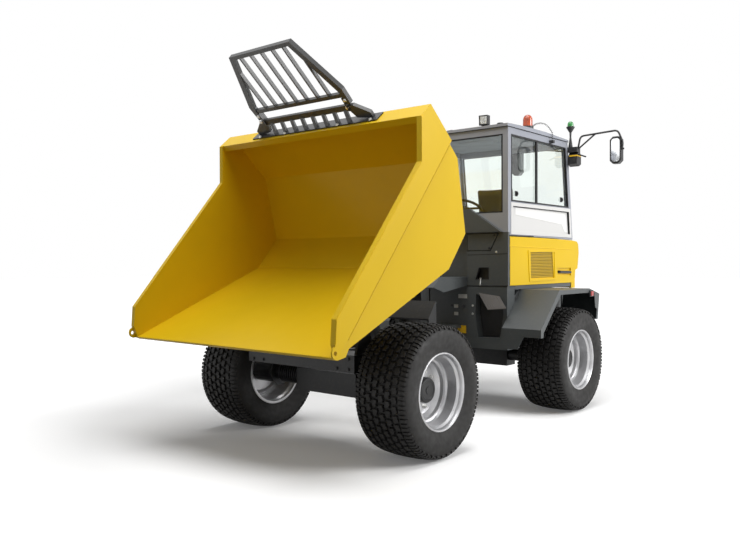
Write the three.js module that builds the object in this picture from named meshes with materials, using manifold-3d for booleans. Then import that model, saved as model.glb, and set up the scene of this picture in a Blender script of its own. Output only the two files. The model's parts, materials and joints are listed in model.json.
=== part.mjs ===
// Articulated front-tip site dumper with a cab and a turning operator station.
// Millimetres, +X forward, +Y to the machine's left, +Z up. The skip stands fully tipped.
import * as THREE from "three";
import { mergeVertices } from "three/addons/utils/BufferGeometryUtils.js";
import Module from "manifold-3d";

const wasm = await Module();
wasm.setup();

// ---------------------------------------------------------------- driving dimensions

const touch = 0.3; // gap kept between pieces that rest on each other
const runningGap = 8; // gap between pieces that move past each other
const finest = 0.02; // details finer than this are merged away

const wheelbase = 2432;
const axleFrontX = wheelbase / 2;
const axleRearX = -wheelbase / 2;
const track = 1826; // between the wheels' middle planes
const tyreRadius = 517.5;
const tyreWidth = 480;
const beadRadius = 291;
const rimWidth = 424;
const rimWall = 10;
const hubRadius = 98;

const axleTube = 70;
const axleHub = 105;
const axleBeam = 88; // half the depth of the box beam in the middle of an axle
const axleBeamHalf = 338;
const axleBeamBottom = 396;

const steerPinRadius = 32;
const yokeBottom = 460; // underside of the rear frame's lower yoke plate
const yokeTop = 860; // top of its upper yoke plate
const yokePlate = 30;
const yokeNose = 80; // radius of the yoke plates round the steering pin
const railBottom = 620;
const railTop = 800;
const railWall = 40;
const rearRail = 170; // from the middle plane to a rear rail's inner side
const frontRail = 300;

const tipPivotAhead = 244; // tip pivot, in front of the front axle
const tipPivotX = axleFrontX + tipPivotAhead;
const tipPivotZ = 1060;
const tipAngle = 50; // degrees from carrying to fully tipped
const tipPinRadius = 25;
const lugInner = 585;
const lugPlate = 25;

const skipHalfWidth = 1138; // over the stiffening bands along the upper edges
const skipPlate = 8;
const skipFloorDrop = 50; // skip floor below the tip pivot, when carrying
const skipFloorFront = -539;
const skipFloorRear = -905;
const skipSlopeTop = 425;
const skipRear = -1270;
const skipBrow = -1279; // upper edge of the rear wall, which leans back
const skipRim = 775; // top edge of the side plates
const skipRearTop = 960;
const skipLipX = 730;
const skipLipZ = 592;
const flangeDepth = 157;

const guardTop = 1748;
const guardTopHalf = 338;
const guardBarZ = 1222;
const guardHalf = 526;
const guardKneeZ = 1278;
const guardFoot = 706;
const guardSlats = 7;

const cabFront = -520;
const cabRearTop = -1815;
const cabRearBottom = -1941;
const cabHalfWidth = 700;
const cabWall = 40;
const cabPillar = 60;
const cabSill = 1748; // underside of the cab frame
const cabHeader = 2736; // top of the window openings
const roofUnder = 2801;
const roofCrown = 2845;
const glass = 6;
const windscreenSill = 1975;
const rearSill = 1800;
const sideWindowSill = 2085;

const floorTop = 1270;
const floorPlate = 14;
const tubFront = -640;
const tubRear = -1850;
const tubHalfWidth = cabHalfWidth - 60;
const tubWall = 12;

const bodyBottom = 1266; // lower edge of the yellow side panels
const panelRear = -1934;
const doorRear = -1250;

const tankFront = -520;
const tankDepth = 145;
const tankInner = 235;
const tankOuter = cabHalfWidth - 10;
const tankTop = 1250;
const tankBottom = 640;

const fenderOuter = 1100;
const fenderInner = cabHalfWidth - 50;
const fenderPlate = 10;
const fenderTop = 1222;

const hoodHalfWidth = cabHalfWidth - 20;
const hoodWall = 25;
const hoodHingeX = -2040;
const hoodHingeZ = 1690;

const stationX = -1240;
const turntableRadius = 330;
const turntableHeight = 50;

const tipBaseX = tipPivotX - 1040;
const tipBaseZ = 520;
const tipEyeX = -560; // rod eye, from the tip pivot, when carrying
const tipEyeZ = -145;
const tipBarrelLength = 550;
const tipBarrelRadius = 55;
const tipRodRadius = 32;

const steerBaseX = -460;
const steerEyeX = 220;
const steerCylinderY = 190;
const steerCylinderZ = 655;
const steerBarrelRadius = 34;
const steerRodRadius = 16;
const barrelEnd = 20; // wall between a cylinder's base and its bore

const mirrorWidth = 122;
const mirrorHeight = 285;
const mirrorReach = 1230; // from the middle plane to a side mirror's middle

// ---------------------------------------------------------------- materials

function paint(colour, roughness, metalness) {
  return new THREE.MeshStandardMaterial({ color: colour, roughness, metalness });
}

const yellow = paint(0xf2bd12, 0.4, 0.0);
const darkGrey = paint(0x4a4e4f, 0.55, 0.0);
const cabGrey = paint(0x8c909b, 0.45, 0.0);
const blackPaint = paint(0x1d1e1f, 0.5, 0.0);
const blackPlastic = paint(0x222324, 0.7, 0.0);
const tyreRubber = paint(0x1b1a19, 0.9, 0.0);
const rimSilver = paint(0xb9bbbe, 0.35, 0.8);
const chrome = paint(0xd8dadd, 0.15, 1.0);
const clearGlass = paint(0xe6ece9, 0.05, 0.0);
const whitePanel = paint(0xdddcd8, 0.35, 0.0);
const amberLens = paint(0xe8541c, 0.3, 0.0);
const greenLens = paint(0x17802e, 0.3, 0.0);
const seatCloth = paint(0x2a2b2d, 0.9, 0.0);
const engineGrey = paint(0x5c6062, 0.6, 0.3);

// ---------------------------------------------------------------- shapes

// A closed geometry as a solid with its faces pointing out.
function toSolid(geometry) {
  const bare = geometry.index ? geometry.toNonIndexed() : geometry.clone();
  bare.deleteAttribute("normal");
  bare.deleteAttribute("uv");
  const merged = mergeVertices(bare, 1e-3);
  const triVerts = new Uint32Array(merged.index.array);
  const vertProperties = merged.attributes.position.array;
  const solid = new wasm.Manifold(new wasm.Mesh({ numProp: 3, vertProperties, triVerts }));
  if (solid.volume() > 0) return solid;
  const turned = triVerts.slice();
  for (let i = 0; i < turned.length; i += 3) {
    turned[i] = triVerts[i + 1];
    turned[i + 1] = triVerts[i];
  }
  return new wasm.Manifold(new wasm.Mesh({ numProp: 3, vertProperties, triVerts: turned }));
}

function unite(solids) {
  return solids.reduce((whole, solid) => whole.add(solid));
}

function cut(solid, tools) {
  return tools.reduce((left, tool) => left.subtract(tool), solid);
}

function block(x0, x1, y0, y1, z0, z1) {
  const geometry = new THREE.BoxGeometry(Math.abs(x1 - x0), Math.abs(y1 - y0), Math.abs(z1 - z0));
  return toSolid(geometry.translate((x0 + x1) / 2, (y0 + y1) / 2, (z0 + z1) / 2));
}

function outline(points) {
  return new THREE.Shape(points.map(([a, b]) => new THREE.Vector2(a, b)));
}

function extrude(shape, depth) {
  return new THREE.ExtrudeGeometry(shape, { depth, bevelEnabled: false, curveSegments: 10 });
}

// A side view outline of (x, z) points, made solid between two y planes.
function sideView(points, y0, y1) {
  const turn = new THREE.Matrix4().makeBasis(axisX, axisZ, axisY.clone().negate());
  const high = Math.max(y0, y1);
  return toSolid(extrude(outline(points), Math.abs(y1 - y0)).applyMatrix4(turn).translate(0, high, 0));
}

// A front view outline of (y, z) points, made solid between two x planes.
function frontView(points, x0, x1) {
  const turn = new THREE.Matrix4().makeBasis(axisY, axisZ, axisX);
  const low = Math.min(x0, x1);
  return toSolid(extrude(outline(points), Math.abs(x1 - x0)).applyMatrix4(turn).translate(low, 0, 0));
}

// A plan outline of (x, y) points, made solid between two z planes.
function planView(points, z0, z1) {
  return toSolid(extrude(outline(points), Math.abs(z1 - z0)).translate(0, 0, Math.min(z0, z1)));
}

const axisX = new THREE.Vector3(1, 0, 0);
const axisY = new THREE.Vector3(0, 1, 0);
const axisZ = new THREE.Vector3(0, 0, 1);

function at(x, y, z) {
  return new THREE.Vector3(x, y, z);
}

function rod(from, to, radius, sides = 20) {
  const along = to.clone().sub(from);
  const geometry = new THREE.CylinderGeometry(radius, radius, along.length(), sides);
  geometry.applyQuaternion(new THREE.Quaternion().setFromUnitVectors(axisY, along.normalize()));
  const middle = from.clone().add(to).multiplyScalar(0.5);
  return toSolid(geometry.translate(middle.x, middle.y, middle.z));
}

// A profile of (radius, height) points turned about the Y axis through the origin.
function turnedAboutY(profile, segments) {
  return toSolid(new THREE.LatheGeometry(profile.map(([r, h]) => new THREE.Vector2(r, h)), segments));
}

// A profile of (radius, height) points turned about a vertical axis at x, y.
function turnedUpright(profile, x, y, segments) {
  const points = profile.map(([r, h]) => new THREE.Vector2(r, h));
  const geometry = new THREE.LatheGeometry(points, segments).rotateX(Math.PI / 2);
  return toSolid(geometry.translate(x, y, 0));
}

// A round bar that follows straight runs with rounded bends.
function bentBar(corners, radius, bend, sides = 10) {
  const path = new THREE.CurvePath();
  let start = corners[0];
  for (let i = 1; i < corners.length - 1; i++) {
    const back = corners[i - 1].clone().sub(corners[i]).setLength(bend);
    const onward = corners[i + 1].clone().sub(corners[i]).setLength(bend);
    const enter = corners[i].clone().add(back);
    const leave = corners[i].clone().add(onward);
    path.add(new THREE.LineCurve3(start, enter));
    path.add(new THREE.QuadraticBezierCurve3(enter, corners[i], leave));
    start = leave;
  }
  path.add(new THREE.LineCurve3(start, corners[corners.length - 1]));
  return alongPath(path, radius, 12 * (corners.length - 1), sides);
}

function alongPath(path, radius, steps, sides) {
  const ring = Array.from({ length: sides }, (_, i) => {
    const angle = (2 * Math.PI * i) / sides;
    return [radius * Math.cos(angle), radius * Math.sin(angle)];
  });
  const options = { steps, extrudePath: path, bevelEnabled: false };
  return toSolid(new THREE.ExtrudeGeometry(outline(ring), options));
}

function mirrored(points) {
  return points.map(([x, y]) => [x, -y]).reverse();
}

function addPart(group, name, solid, material) {
  const shape = solid.setTolerance(finest).getMesh();
  const geometry = new THREE.BufferGeometry();
  geometry.setAttribute("position", new THREE.BufferAttribute(shape.vertProperties, 3));
  geometry.setIndex(new THREE.BufferAttribute(shape.triVerts, 1));
  geometry.computeVertexNormals();
  const mesh = new THREE.Mesh(geometry, material);
  mesh.name = name;
  group.add(mesh);
}

const bothSides = [
  ["left", 1],
  ["right", -1],
];

// ---------------------------------------------------------------- wheels and axles

const wheelHalfTrack = track / 2;
const discInner = -6; // wheel disc, from the wheel's middle plane
const discOuter = 10;
const wheelSegments = 32;

function tyreShape() {
  const half = tyreWidth / 2;
  const bead = rimWidth / 2 - touch;
  const side = [
    [beadRadius + touch, bead],
    [beadRadius + 12, bead],
    [beadRadius + 70, half - 4],
    [(beadRadius + tyreRadius) / 2 + 25, half],
    [tyreRadius - 27, half - 18],
    [tyreRadius - 6, half - 60],
    [tyreRadius, half - 170],
  ];
  const otherSide = side.map(([r, h]) => [r, -h]).reverse();
  return turnedAboutY([...side, ...otherSide, side[0]], wheelSegments);
}

// The outer side of the wheel is on +Y.
function rimShape() {
  const seat = rimWidth / 2;
  const flange = beadRadius + 9;
  const barrel = beadRadius - rimWall;
  const profile = [
    [0, discInner],
    [hubRadius, discInner],
    [barrel - 60, discInner],
    [barrel, 24],
    [barrel, -seat - 8],
    [flange, -seat - 8],
    [flange, -seat],
    [beadRadius, -seat],
    [beadRadius, seat],
    [flange, seat],
    [flange, seat + 8],
    [barrel, seat + 8],
    [barrel, 42],
    [barrel - 66, discOuter],
    [hubRadius, discOuter],
    [hubRadius - 6, 82],
    [0, 88],
  ];
  return turnedAboutY(profile, wheelSegments);
}

function addWheel(group, name, x, side) {
  const wheel = new THREE.Group();
  wheel.position.set(x, side * wheelHalfTrack, tyreRadius);
  if (side < 0) wheel.rotation.z = Math.PI;
  addPart(wheel, `${name}_tyre`, tyreShape(), tyreRubber);
  addPart(wheel, `${name}_rim`, rimShape(), rimSilver);
  group.add(wheel);
}

// Box beam with a round tube and a planetary hub at each end.
function axleShape(x) {
  const end = wheelHalfTrack + discInner - runningGap;
  const hubStart = wheelHalfTrack - tyreWidth / 2 - 30;
  const top = tyreRadius + axleTube;
  const half = [
    [axleTube, 0],
    [axleTube, hubStart],
    [axleHub, hubStart + 25],
    [axleHub, end],
    [0, end],
  ];
  const otherHalf = half.map(([r, h]) => [r, -h]).reverse();
  const tubes = turnedAboutY([...otherHalf, ...half.slice(1)], 24).translate([x, 0, tyreRadius]);
  const beam = block(x - axleBeam, x + axleBeam, -axleBeamHalf, axleBeamHalf, axleBeamBottom, top - 1);
  return unite([tubes, beam]);
}

// ---------------------------------------------------------------- steering joint

// Yoke plate that reaches from a wall at wallX to the steering pin, with a round nose.
function yokeShape(wallX, halfWidth, z0, z1, bore) {
  const points = [[wallX, -halfWidth]];
  const facing = -Math.sign(wallX);
  for (let i = 0; i <= 12; i++) {
    const angle = ((i / 12 - 0.5) * Math.PI * 4) / 5;
    points.push([facing * yokeNose * Math.cos(angle), yokeNose * Math.sin(angle)]);
  }
  points.push([wallX, halfWidth]);
  const hole = rod(at(0, 0, z0 - 5), at(0, 0, z1 + 5), bore, 24);
  return cut(planView(points, z0, z1), [hole]);
}

function steeringPinShape() {
  const head = 12;
  const pin = rod(at(0, 0, yokeBottom - head), at(0, 0, yokeTop + head), steerPinRadius, 24);
  const cap = rod(at(0, 0, yokeTop + touch), at(0, 0, yokeTop + head), steerPinRadius + 20, 24);
  return unite([pin, cap]);
}

// Pair of flat ears above and below a steering cylinder's eye.
function steeringEars(wallX, eyeX, side) {
  const outward = Math.sign(eyeX - wallX);
  const inner = steerCylinderY - 36;
  const outer = steerCylinderY + 36;
  const tip = eyeX + outward * 30;
  const gap = eyeHalf + runningGap;
  return [-1, 1].map((up) => {
    const near = steerCylinderZ + up * gap;
    const far = steerCylinderZ + up * (gap + 15);
    return block(wallX - outward * 2, tip, side * inner, side * outer, near, far);
  });
}

const eyeHalf = 14; // half the width of a steering cylinder's eye

// ---------------------------------------------------------------- rear frame

const bolsterRear = -560;
const bolsterFront = -530;
const bolsterHalfWidth = 230;
const rearPlateX = -1970;

function rearChassisShape() {
  const parts = [
    block(
      bolsterRear,
      bolsterFront,
      -bolsterHalfWidth,
      bolsterHalfWidth,
      yokeBottom - 20,
      noseFloor - touch,
    ),
    block(rearPlateX - 50, rearPlateX, -560, 560, 580, 1185),
    block(-1000, -960, -rearRail - 5, rearRail + 5, railBottom + 20, railTop - 20),
    yokeShape(bolsterFront + -1, 160, yokeBottom, yokeBottom + yokePlate, steerPinRadius + touch),
    yokeShape(bolsterFront + -1, 160, yokeTop - yokePlate, yokeTop, steerPinRadius + touch),
  ];
  for (const [, side] of bothSides) {
    const inner = side * rearRail;
    const outer = side * (rearRail + railWall);
    parts.push(block(rearPlateX - 5, bolsterRear + 5, inner, outer, railBottom, railTop));
    const saddle = tyreRadius + axleTube + touch;
    parts.push(block(axleRearX - 70, axleRearX + 70, inner, outer, saddle, railBottom + 5));
    parts.push(block(tubFront - 45, tubFront - 5, inner, outer, railTop - 5, floorTop - floorPlate - touch));
    parts.push(block(tubRear, tubRear + 40, inner, outer, railTop - 5, floorTop - floorPlate - touch));
    const bracketOuter = side * (tankInner - touch);
    parts.push(block(-640, -580, side * (rearRail + 5), bracketOuter, railBottom + 30, railTop - 20));
    parts.push(...steeringEars(bolsterFront, steerBaseX, side));
    parts.push(steeringPivot(steerBaseX, side));
  }
  return unite(parts);
}

// Upright pin through a steering cylinder's base eye, held by its two ears.
function steeringPivot(x, side) {
  const reach = eyeHalf + runningGap + 10;
  const low = at(x, side * steerCylinderY, steerCylinderZ - reach);
  return rod(low, at(x, side * steerCylinderY, steerCylinderZ + reach), 11, 16);
}

const noseFloor = 1260;
const noseTop = 1345;

// Sheet cover over the steering joint, open underneath.
function deckNoseShape() {
  const back = recessX + touch;
  const skin = 6;
  const outer = [
    [back, noseFloor],
    [bolsterFront + 5, noseFloor],
    [-110, 1204],
    [60, 1255],
    [-30, noseTop],
    [back, noseTop],
  ];
  const inner = [
    [back + skin, noseFloor - 100],
    [30, noseFloor - 100],
    [30, 1252],
    [-38, noseTop - skin],
    [back + skin, noseTop - skin],
  ];
  const half = tankInner - 2;
  return cut(sideView(outer, -half, half), [sideView(inner, skin - half, half - skin)]);
}

const recessX = -600; // middle of the bulkhead, set back from its two sides
const bulkheadWall = 30;
const bulkheadTop = 1785;
const hatchHinge = 240;
const hatchBottom = 1612;
const hatchTop = 1772;

function hatchOutline(grow) {
  return [
    [hatchHinge - grow, hatchBottom - grow],
    [500 + grow, hatchBottom - grow],
    [585 + 2 * grow, hatchTop + grow],
    [hatchHinge - grow, hatchTop + grow],
  ];
}

// Grey front wall below the windscreen: two side housings and a recess in the middle.
function bulkheadShape() {
  const front = cabFront;
  const half = [
    [front, cabHalfWidth],
    [front, tankInner],
    [recessX, 195],
  ];
  const back = [
    [recessX - bulkheadWall, 225],
    [front - bulkheadWall, 262],
    [front - bulkheadWall, cabHalfWidth],
  ];
  const plan = [...half, ...mirrored(half), ...mirrored(back), ...back];
  const wall = planView(plan, noseFloor + 1, bulkheadTop);
  const hatchway = frontView(hatchOutline(8), front - 60, front + 10);
  const foothold = [
    [331, 1321],
    [486, 1321],
    [490, 1442],
    [371, 1442],
  ];
  const noseRoom = tankInner - 2 + touch;
  const behindNose = block(recessX, front + 10, -noseRoom, noseRoom, noseFloor - 10, noseTop + touch);
  return cut(wall, [hatchway, frontView(foothold, front - 60, front + 10), behindNose]);
}

function cowlShape() {
  const crest = [
    [cabHalfWidth - 55, bulkheadTop + 4],
    [293, 2020],
    [-293, 2020],
    [55 - cabHalfWidth, bulkheadTop + 4],
  ];
  return frontView(crest, cabFront + touch, cabFront + 45);
}

// Tank below the cab's front corner, with the boarding step on its front.
function tankShape(side) {
  const tank = block(
    tankFront - tankDepth,
    tankFront,
    side * tankInner,
    side * tankOuter,
    tankBottom,
    tankTop,
  );
  const pocket = [
    [side * 338, 1178],
    [side * 331, 972],
    [side * 364, 745],
    [side * 611, 755],
    [side * 649, 986],
    [side * 640, 1120],
  ];
  const outline = side > 0 ? pocket.reverse() : pocket;
  return cut(tank, [frontView(outline, tankFront - 95, tankFront + 5)]);
}

const fenderCrownX = axleRearX - 264;
const fenderRearX = axleRearX - 514;

const fenderPath = [
  [-420, 790],
  [-420, 865],
  [-800, fenderTop],
  [fenderCrownX, fenderTop],
  [fenderRearX, 1160],
  [fenderRearX + 40, 894],
];

const fenderInside = [
  [-420 - fenderPlate, 790],
  [-420 - fenderPlate, 861],
  [-804, fenderTop - fenderPlate],
  [fenderCrownX + 1, fenderTop - fenderPlate],
  [fenderRearX + 11, 1152],
  [fenderRearX + 50, 894],
];

// Folded wheel guard with a narrow outer flange and a wall beside the tyre.
function fenderShape(side) {
  const inside = [...fenderInside].reverse();
  const arch = [
    [fenderRearX + 78, 894],
    [fenderRearX + 47, 1120],
    [fenderCrownX + 5, 1178],
    [-830, 1178],
    [-470, 832],
    [-470, 790],
  ];
  const shelfEnd = tankFront - tankDepth - 10;
  const wall = [
    [shelfEnd, 850],
    [shelfEnd, fenderTop - 100],
    [-800, fenderTop],
    [fenderCrownX, fenderTop],
    [fenderRearX, 1160],
    [fenderRearX, 850],
  ];
  const sheet = sideView([...fenderPath, ...inside], side * (tankOuter + touch), side * fenderOuter);
  const flange = sideView([...fenderPath, ...arch], side * (fenderOuter - fenderPlate), side * fenderOuter);
  const shelfOuter = side * (tankOuter + 5);
  const shelfLow = fenderTop - fenderPlate;
  const shelf = block(fenderCrownX + 1, -800, side * fenderInner, shelfOuter, shelfLow, fenderTop);
  const inner = sideView(wall, side * fenderInner, side * (fenderInner + fenderPlate));
  const stayRoot = rearRail + railWall + touch;
  const stayEnd = side * (fenderInner + 5);
  const stay = block(fenderCrownX - 20, fenderCrownX + 40, side * stayRoot, stayEnd, 840, 870);
  const lift = block(fenderCrownX - 20, fenderCrownX + 40, side * stayRoot, side * 240, 700, 870);
  const apron = [
    [side * (tankOuter + touch), 795],
    [side * 921, 795],
    [side * 854, 670],
    [side * (tankOuter + touch), 670],
  ];
  const flap = frontView(side > 0 ? apron.reverse() : apron, -430, -420);
  return unite([sheet, flange, shelf, inner, stay, lift, flap]);
}

const engineFront = axleRearX - 184;

function engineShape() {
  const half = rearRail - touch;
  return unite([
    block(-1850, engineFront, -half, half, 560, 1000),
    block(-1800, engineFront - 40, -120, 120, 995, 1200),
  ]);
}

// ---------------------------------------------------------------- cab

// Line of the cab's rear side, leaning back towards its foot.
function rearAt(z) {
  const share = (roofUnder - z) / (roofUnder - sillAt(cabRearBottom));
  return cabRearTop + (cabRearBottom - cabRearTop) * share;
}

// Lower edge of the cab frame and upper edge of the panels below it, falling to the rear.
function sillAt(x) {
  const level = -1000;
  const drop = 0.000012;
  return x > level ? cabSill : cabSill - drop * (x - level) ** 2;
}

function sillLine(from, to) {
  const bend = Math.min(from, -1050);
  const steps = 5;
  const line = Array.from({ length: steps + 1 }, (_, i) => {
    const x = bend + ((to - bend) * i) / steps;
    return [x, sillAt(x)];
  });
  return bend < from ? [[from, sillAt(from)], ...line] : line;
}

function windowOutline(low, high, front, inset) {
  return [
    [front, low],
    [front, high],
    [rearAt(high) + inset, high],
    [rearAt(low) + inset, low],
  ];
}

// Frame of the cab: two sides with their openings, joined by headers and sills.
function cabFrameShape() {
  const top = roofUnder - touch;
  const behind = cabFront - bulkheadWall - 1;
  const shoulder = bulkheadTop + touch;
  const outer = [
    [cabFront, shoulder],
    [behind, shoulder],
    ...sillLine(behind, cabRearBottom),
    [rearAt(top), top],
    [cabFront, top],
  ];
  const window = windowOutline(sideWindowSill, cabHeader, cabFront - cabPillar, cabPillar);
  const lower = windowOutline(cabSill + 40, sideWindowSill - 40, cabFront - cabPillar, cabPillar);
  const doorway = [
    [cabFront - cabPillar + 10, cabSill - 200],
    [cabFront - cabPillar + 10, cabHeader - 10],
    [doorRear - 10, cabHeader - 10],
    [doorRear - 10, cabSill - 200],
  ];
  const far = windowOutline(sideWindowSill, cabHeader, doorRear - cabPillar, cabPillar);
  const inner = cabHalfWidth - cabWall;
  const left = cut(sideView(outer, inner, cabHalfWidth), [
    sideView(window, inner - 5, cabHalfWidth + 5),
    sideView(lower, inner - 5, cabHalfWidth + 5),
  ]);
  const right = cut(sideView(outer, -cabHalfWidth, -inner), [
    sideView(doorway, -cabHalfWidth - 5, 5 - inner),
    sideView(far, -cabHalfWidth - 5, 5 - inner),
  ]);
  const span = inner + 2;
  const pillar = cabFront - cabPillar;
  const crossings = [
    block(pillar, cabFront - 1, -span, span, cabHeader, top - 1),
    block(cabFront - cabWall, cabFront - 1, -span, span, shoulder + 1, windscreenSill),
    rearBand(cabHeader, top - 3, span),
    rearBand(sillAt(cabRearBottom) + 12, rearSill, span),
    ...bothSides.map(([, side]) =>
      block(pillar + 15, cabFront - 3, side * (inner - 20), side * span, shoulder + 5, cabHeader + 2),
    ),
    ...bothSides.map(([, side]) => rearPost(side * (inner - 20), side * span)),
    block(tubRear, pillar + 5, tubHalfWidth - tubWall, span, cabSill + 3, cabSill + 38),
    block(tubRear, doorRear - 15, tubWall - tubHalfWidth, -span, cabSill + 3, cabSill + 38),
  ];
  return unite([left, right, ...crossings]);
}

function rearSlab(z0, z1, inset, thickness) {
  const behind = (z) => rearAt(z) + inset;
  return [
    [behind(z0), z0],
    [behind(z1), z1],
    [behind(z1) + thickness, z1],
    [behind(z0) + thickness, z0],
  ];
}

function rearBand(z0, z1, half) {
  return sideView(rearSlab(z0, z1, 4, cabWall), -half, half);
}

function rearPost(y0, y1) {
  return sideView(rearSlab(sillAt(cabRearBottom) + 8, roofUnder - 2, 2, cabPillar - 15), y0, y1);
}

function roofShape() {
  const profile = [
    [cabFront + 12, roofUnder],
    [cabFront + 12, roofUnder + 32],
    [-900, roofCrown],
    [-1300, roofCrown],
    [cabRearTop - 12, roofUnder + 24],
    [cabRearTop - 12, roofUnder],
  ];
  return sideView(profile, -cabHalfWidth - 4, cabHalfWidth + 4);
}

function windscreenShape() {
  const half = cabHalfWidth - cabWall - 20 - touch;
  const x = cabFront - 18;
  return block(x - glass, x, -half, half, windscreenSill + touch, cabHeader - touch);
}

function rearWindowShape() {
  const half = cabHalfWidth - cabWall - 20 - touch;
  const low = rearSill + touch;
  const high = cabHeader - touch;
  const pane = [
    [rearAt(low) + 14, low],
    [rearAt(high) + 14, high],
    [rearAt(high) + 14 + glass, high],
    [rearAt(low) + 14 + glass, low],
  ];
  return sideView(pane, -half, half);
}

// A flat pane that fills a side opening, short of its frame by the touch gap.
function sidePane(low, high, front, side) {
  const pane = windowOutline(low + touch, high - touch, front - touch, cabPillar + touch);
  const y = cabHalfWidth - 18;
  return sideView(pane, side * (y - glass), side * y);
}

// Floor of the cab with low walls inside the outer panels, open at the doorway.
function tubShape() {
  const top = cabSill - touch;
  const shell = block(tubRear, tubFront, -tubHalfWidth, tubHalfWidth, floorTop - floorPlate, top);
  const inside = block(
    tubRear + tubWall,
    tubFront - tubWall,
    tubWall - tubHalfWidth,
    tubHalfWidth - tubWall,
    floorTop,
    top + 10,
  );
  const doorway = block(doorRear, tubFront - 15, -tubHalfWidth - 5, 20 - tubHalfWidth, floorTop, top + 10);
  return fitUnderSill(cut(shell, [inside, doorway]));
}

// Trims what stands above the cab frame's falling sill line.
function fitUnderSill(solid) {
  const above = [...sillLine(-900, -2100).map(([x, z]) => [x, z - 1]), [-2100, 2000], [-900, 2000]];
  return cut(solid, [sideView(above, -900, 900)]);
}

function sidePanelOutline(front) {
  const gap = 6;
  const top = sillLine(front, panelRear).map(([x, z]) => [x, z - gap]);
  return [...top, [panelRear, bodyBottom], [front, bodyBottom]];
}

// Hinged yellow panel on the left, with its air intake set in a pressed frame.
function leftPanelShape() {
  const y1 = cabHalfWidth;
  const y0 = cabHalfWidth - cabWall;
  const panel = sideView(sidePanelOutline(cabFront - cabPillar + 20), y0 + 5, y1);
  const intake = sideView(intakeOutline, y1 - 12, y1 + 5);
  const handleWell = block(-1900, -1575, y1 - 15, y1 + 5, 1345, 1428);
  const grip = rod(at(-1613, y1 - 4, 1388), at(-1880, y1 - 4, 1380), 12, 12);
  const stem = rod(at(-1690, y1 - 20, 1385), at(-1690, y1 - 2, 1385), 9, 12);
  return unite([cut(panel, [intake, handleWell]), grip, stem]);
}

const intakeOutline = [
  [-982, 1325],
  [-972, 1601],
  [-1452, 1603],
  [-1490, 1325],
];

function rightPanelShape() {
  const y1 = cabHalfWidth;
  const y0 = cabHalfWidth - cabWall;
  return sideView(sidePanelOutline(doorRear - 12), -y1, -y0 - 5);
}

// Frame of the right door, hung on its rear edge.
function doorFrameShape() {
  const front = cabFront - cabPillar + 2;
  const rear = doorRear;
  const low = floorTop + 8;
  const high = cabHeader - 18;
  const y0 = -cabHalfWidth;
  const y1 = cabWall - cabHalfWidth;
  const leaf = block(rear, front, y0, y1, low, high);
  const band = 55;
  const upper = block(rear + band, front - band, y0 - 5, y1 + 5, doorRail + 25, high - band);
  const lower = block(rear + band, front - band, y0 - 5, y1 - 10, low + band, doorRail - 25);
  const grip = rod(at(front - 30, y0 - 14, doorRail), at(front - 110, y0 - 14, doorRail), 9, 12);
  const stem = rod(at(front - 40, y0 - 16, doorRail), at(front - 40, y0 + 6, doorRail), 7, 12);
  return unite([cut(leaf, [upper, lower]), grip, stem]);
}

const doorRail = 1760; // middle rail of the door

function doorGlassShape() {
  const front = cabFront - cabPillar + 2 - 55 - touch;
  const rear = doorRear + 55 + touch;
  const y = 18 - cabHalfWidth;
  return block(rear, front, y, y + glass, doorRail + 25 + touch, cabHeader - 18 - 55 - touch);
}

const hoodOutline = [
  [-1950, 1205],
  [-2045, 1205],
  [-2045, 1340],
  [-2057, 1405],
  [-2112, 1420],
  [-2144, 1598],
  [-2130, 1690],
  [-2096, 1721],
  [-1950, 1734],
];

// Rear engine hood, a shell that is open to the front and below.
function hoodShape() {
  const inner = [
    [-1940, 1100],
    [-2045 + hoodWall, 1100],
    [-2045 + hoodWall, 1338],
    [-2057 + hoodWall, 1423],
    [-2112 + hoodWall, 1440],
    [-2144 + hoodWall, 1598],
    [-2130 + hoodWall, 1678],
    [-2096 + 10, 1721 - hoodWall],
    [-1940, 1734 - hoodWall],
  ];
  const half = hoodHalfWidth;
  return cut(sideView(hoodOutline, -half, half), [sideView(inner, hoodWall - half, half - hoodWall)]);
}

// ---------------------------------------------------------------- operator station

function turntableShape() {
  const base = floorTop + runningGap;
  const disc = turnedUpright(
    [
      [0, base],
      [turntableRadius, base],
      [turntableRadius, base + turntableHeight],
      [0, base + turntableHeight],
    ],
    stationX,
    0,
    32,
  );
  const top = base + turntableHeight;
  const pedestal = block(stationX - 260, stationX + 90, -190, 190, top - 2, seatBase);
  const floor = block(stationX + 80, stationX + 500, -210, 210, base, base + 20);
  const column = [
    [stationX + 400, base + 15],
    [stationX + 520, base + 15],
    [stationX + 500, 1840],
    [stationX + 430, 1980],
    [stationX + 330, 2010],
    [stationX + 370, 1900],
  ];
  return unite([disc, pedestal, floor, sideView(column, -140, 140)]);
}

const seatBase = 1600;

function seatShape() {
  const cushion = block(stationX - 250, stationX + 240, -240, 240, seatBase + touch, seatBase + 130);
  const back = [
    [stationX - 245, seatBase + 100],
    [stationX - 150, seatBase + 100],
    [stationX - 220, 2320],
    [stationX - 320, 2320],
    [stationX - 350, 2200],
  ];
  const rests = bothSides.map(([, side]) =>
    block(stationX - 240, stationX + 90, side * 235, side * 295, seatBase + 200, seatBase + 245),
  );
  const stems = bothSides.map(([, side]) =>
    block(stationX - 240, stationX - 190, side * 235, side * 275, seatBase + 60, seatBase + 205),
  );
  return unite([cushion, sideView(back, -230, 230), ...rests, ...stems]);
}

const wheelTilt = 28; // degrees that the steering wheel leans back
const steeringRing = 180;

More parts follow.
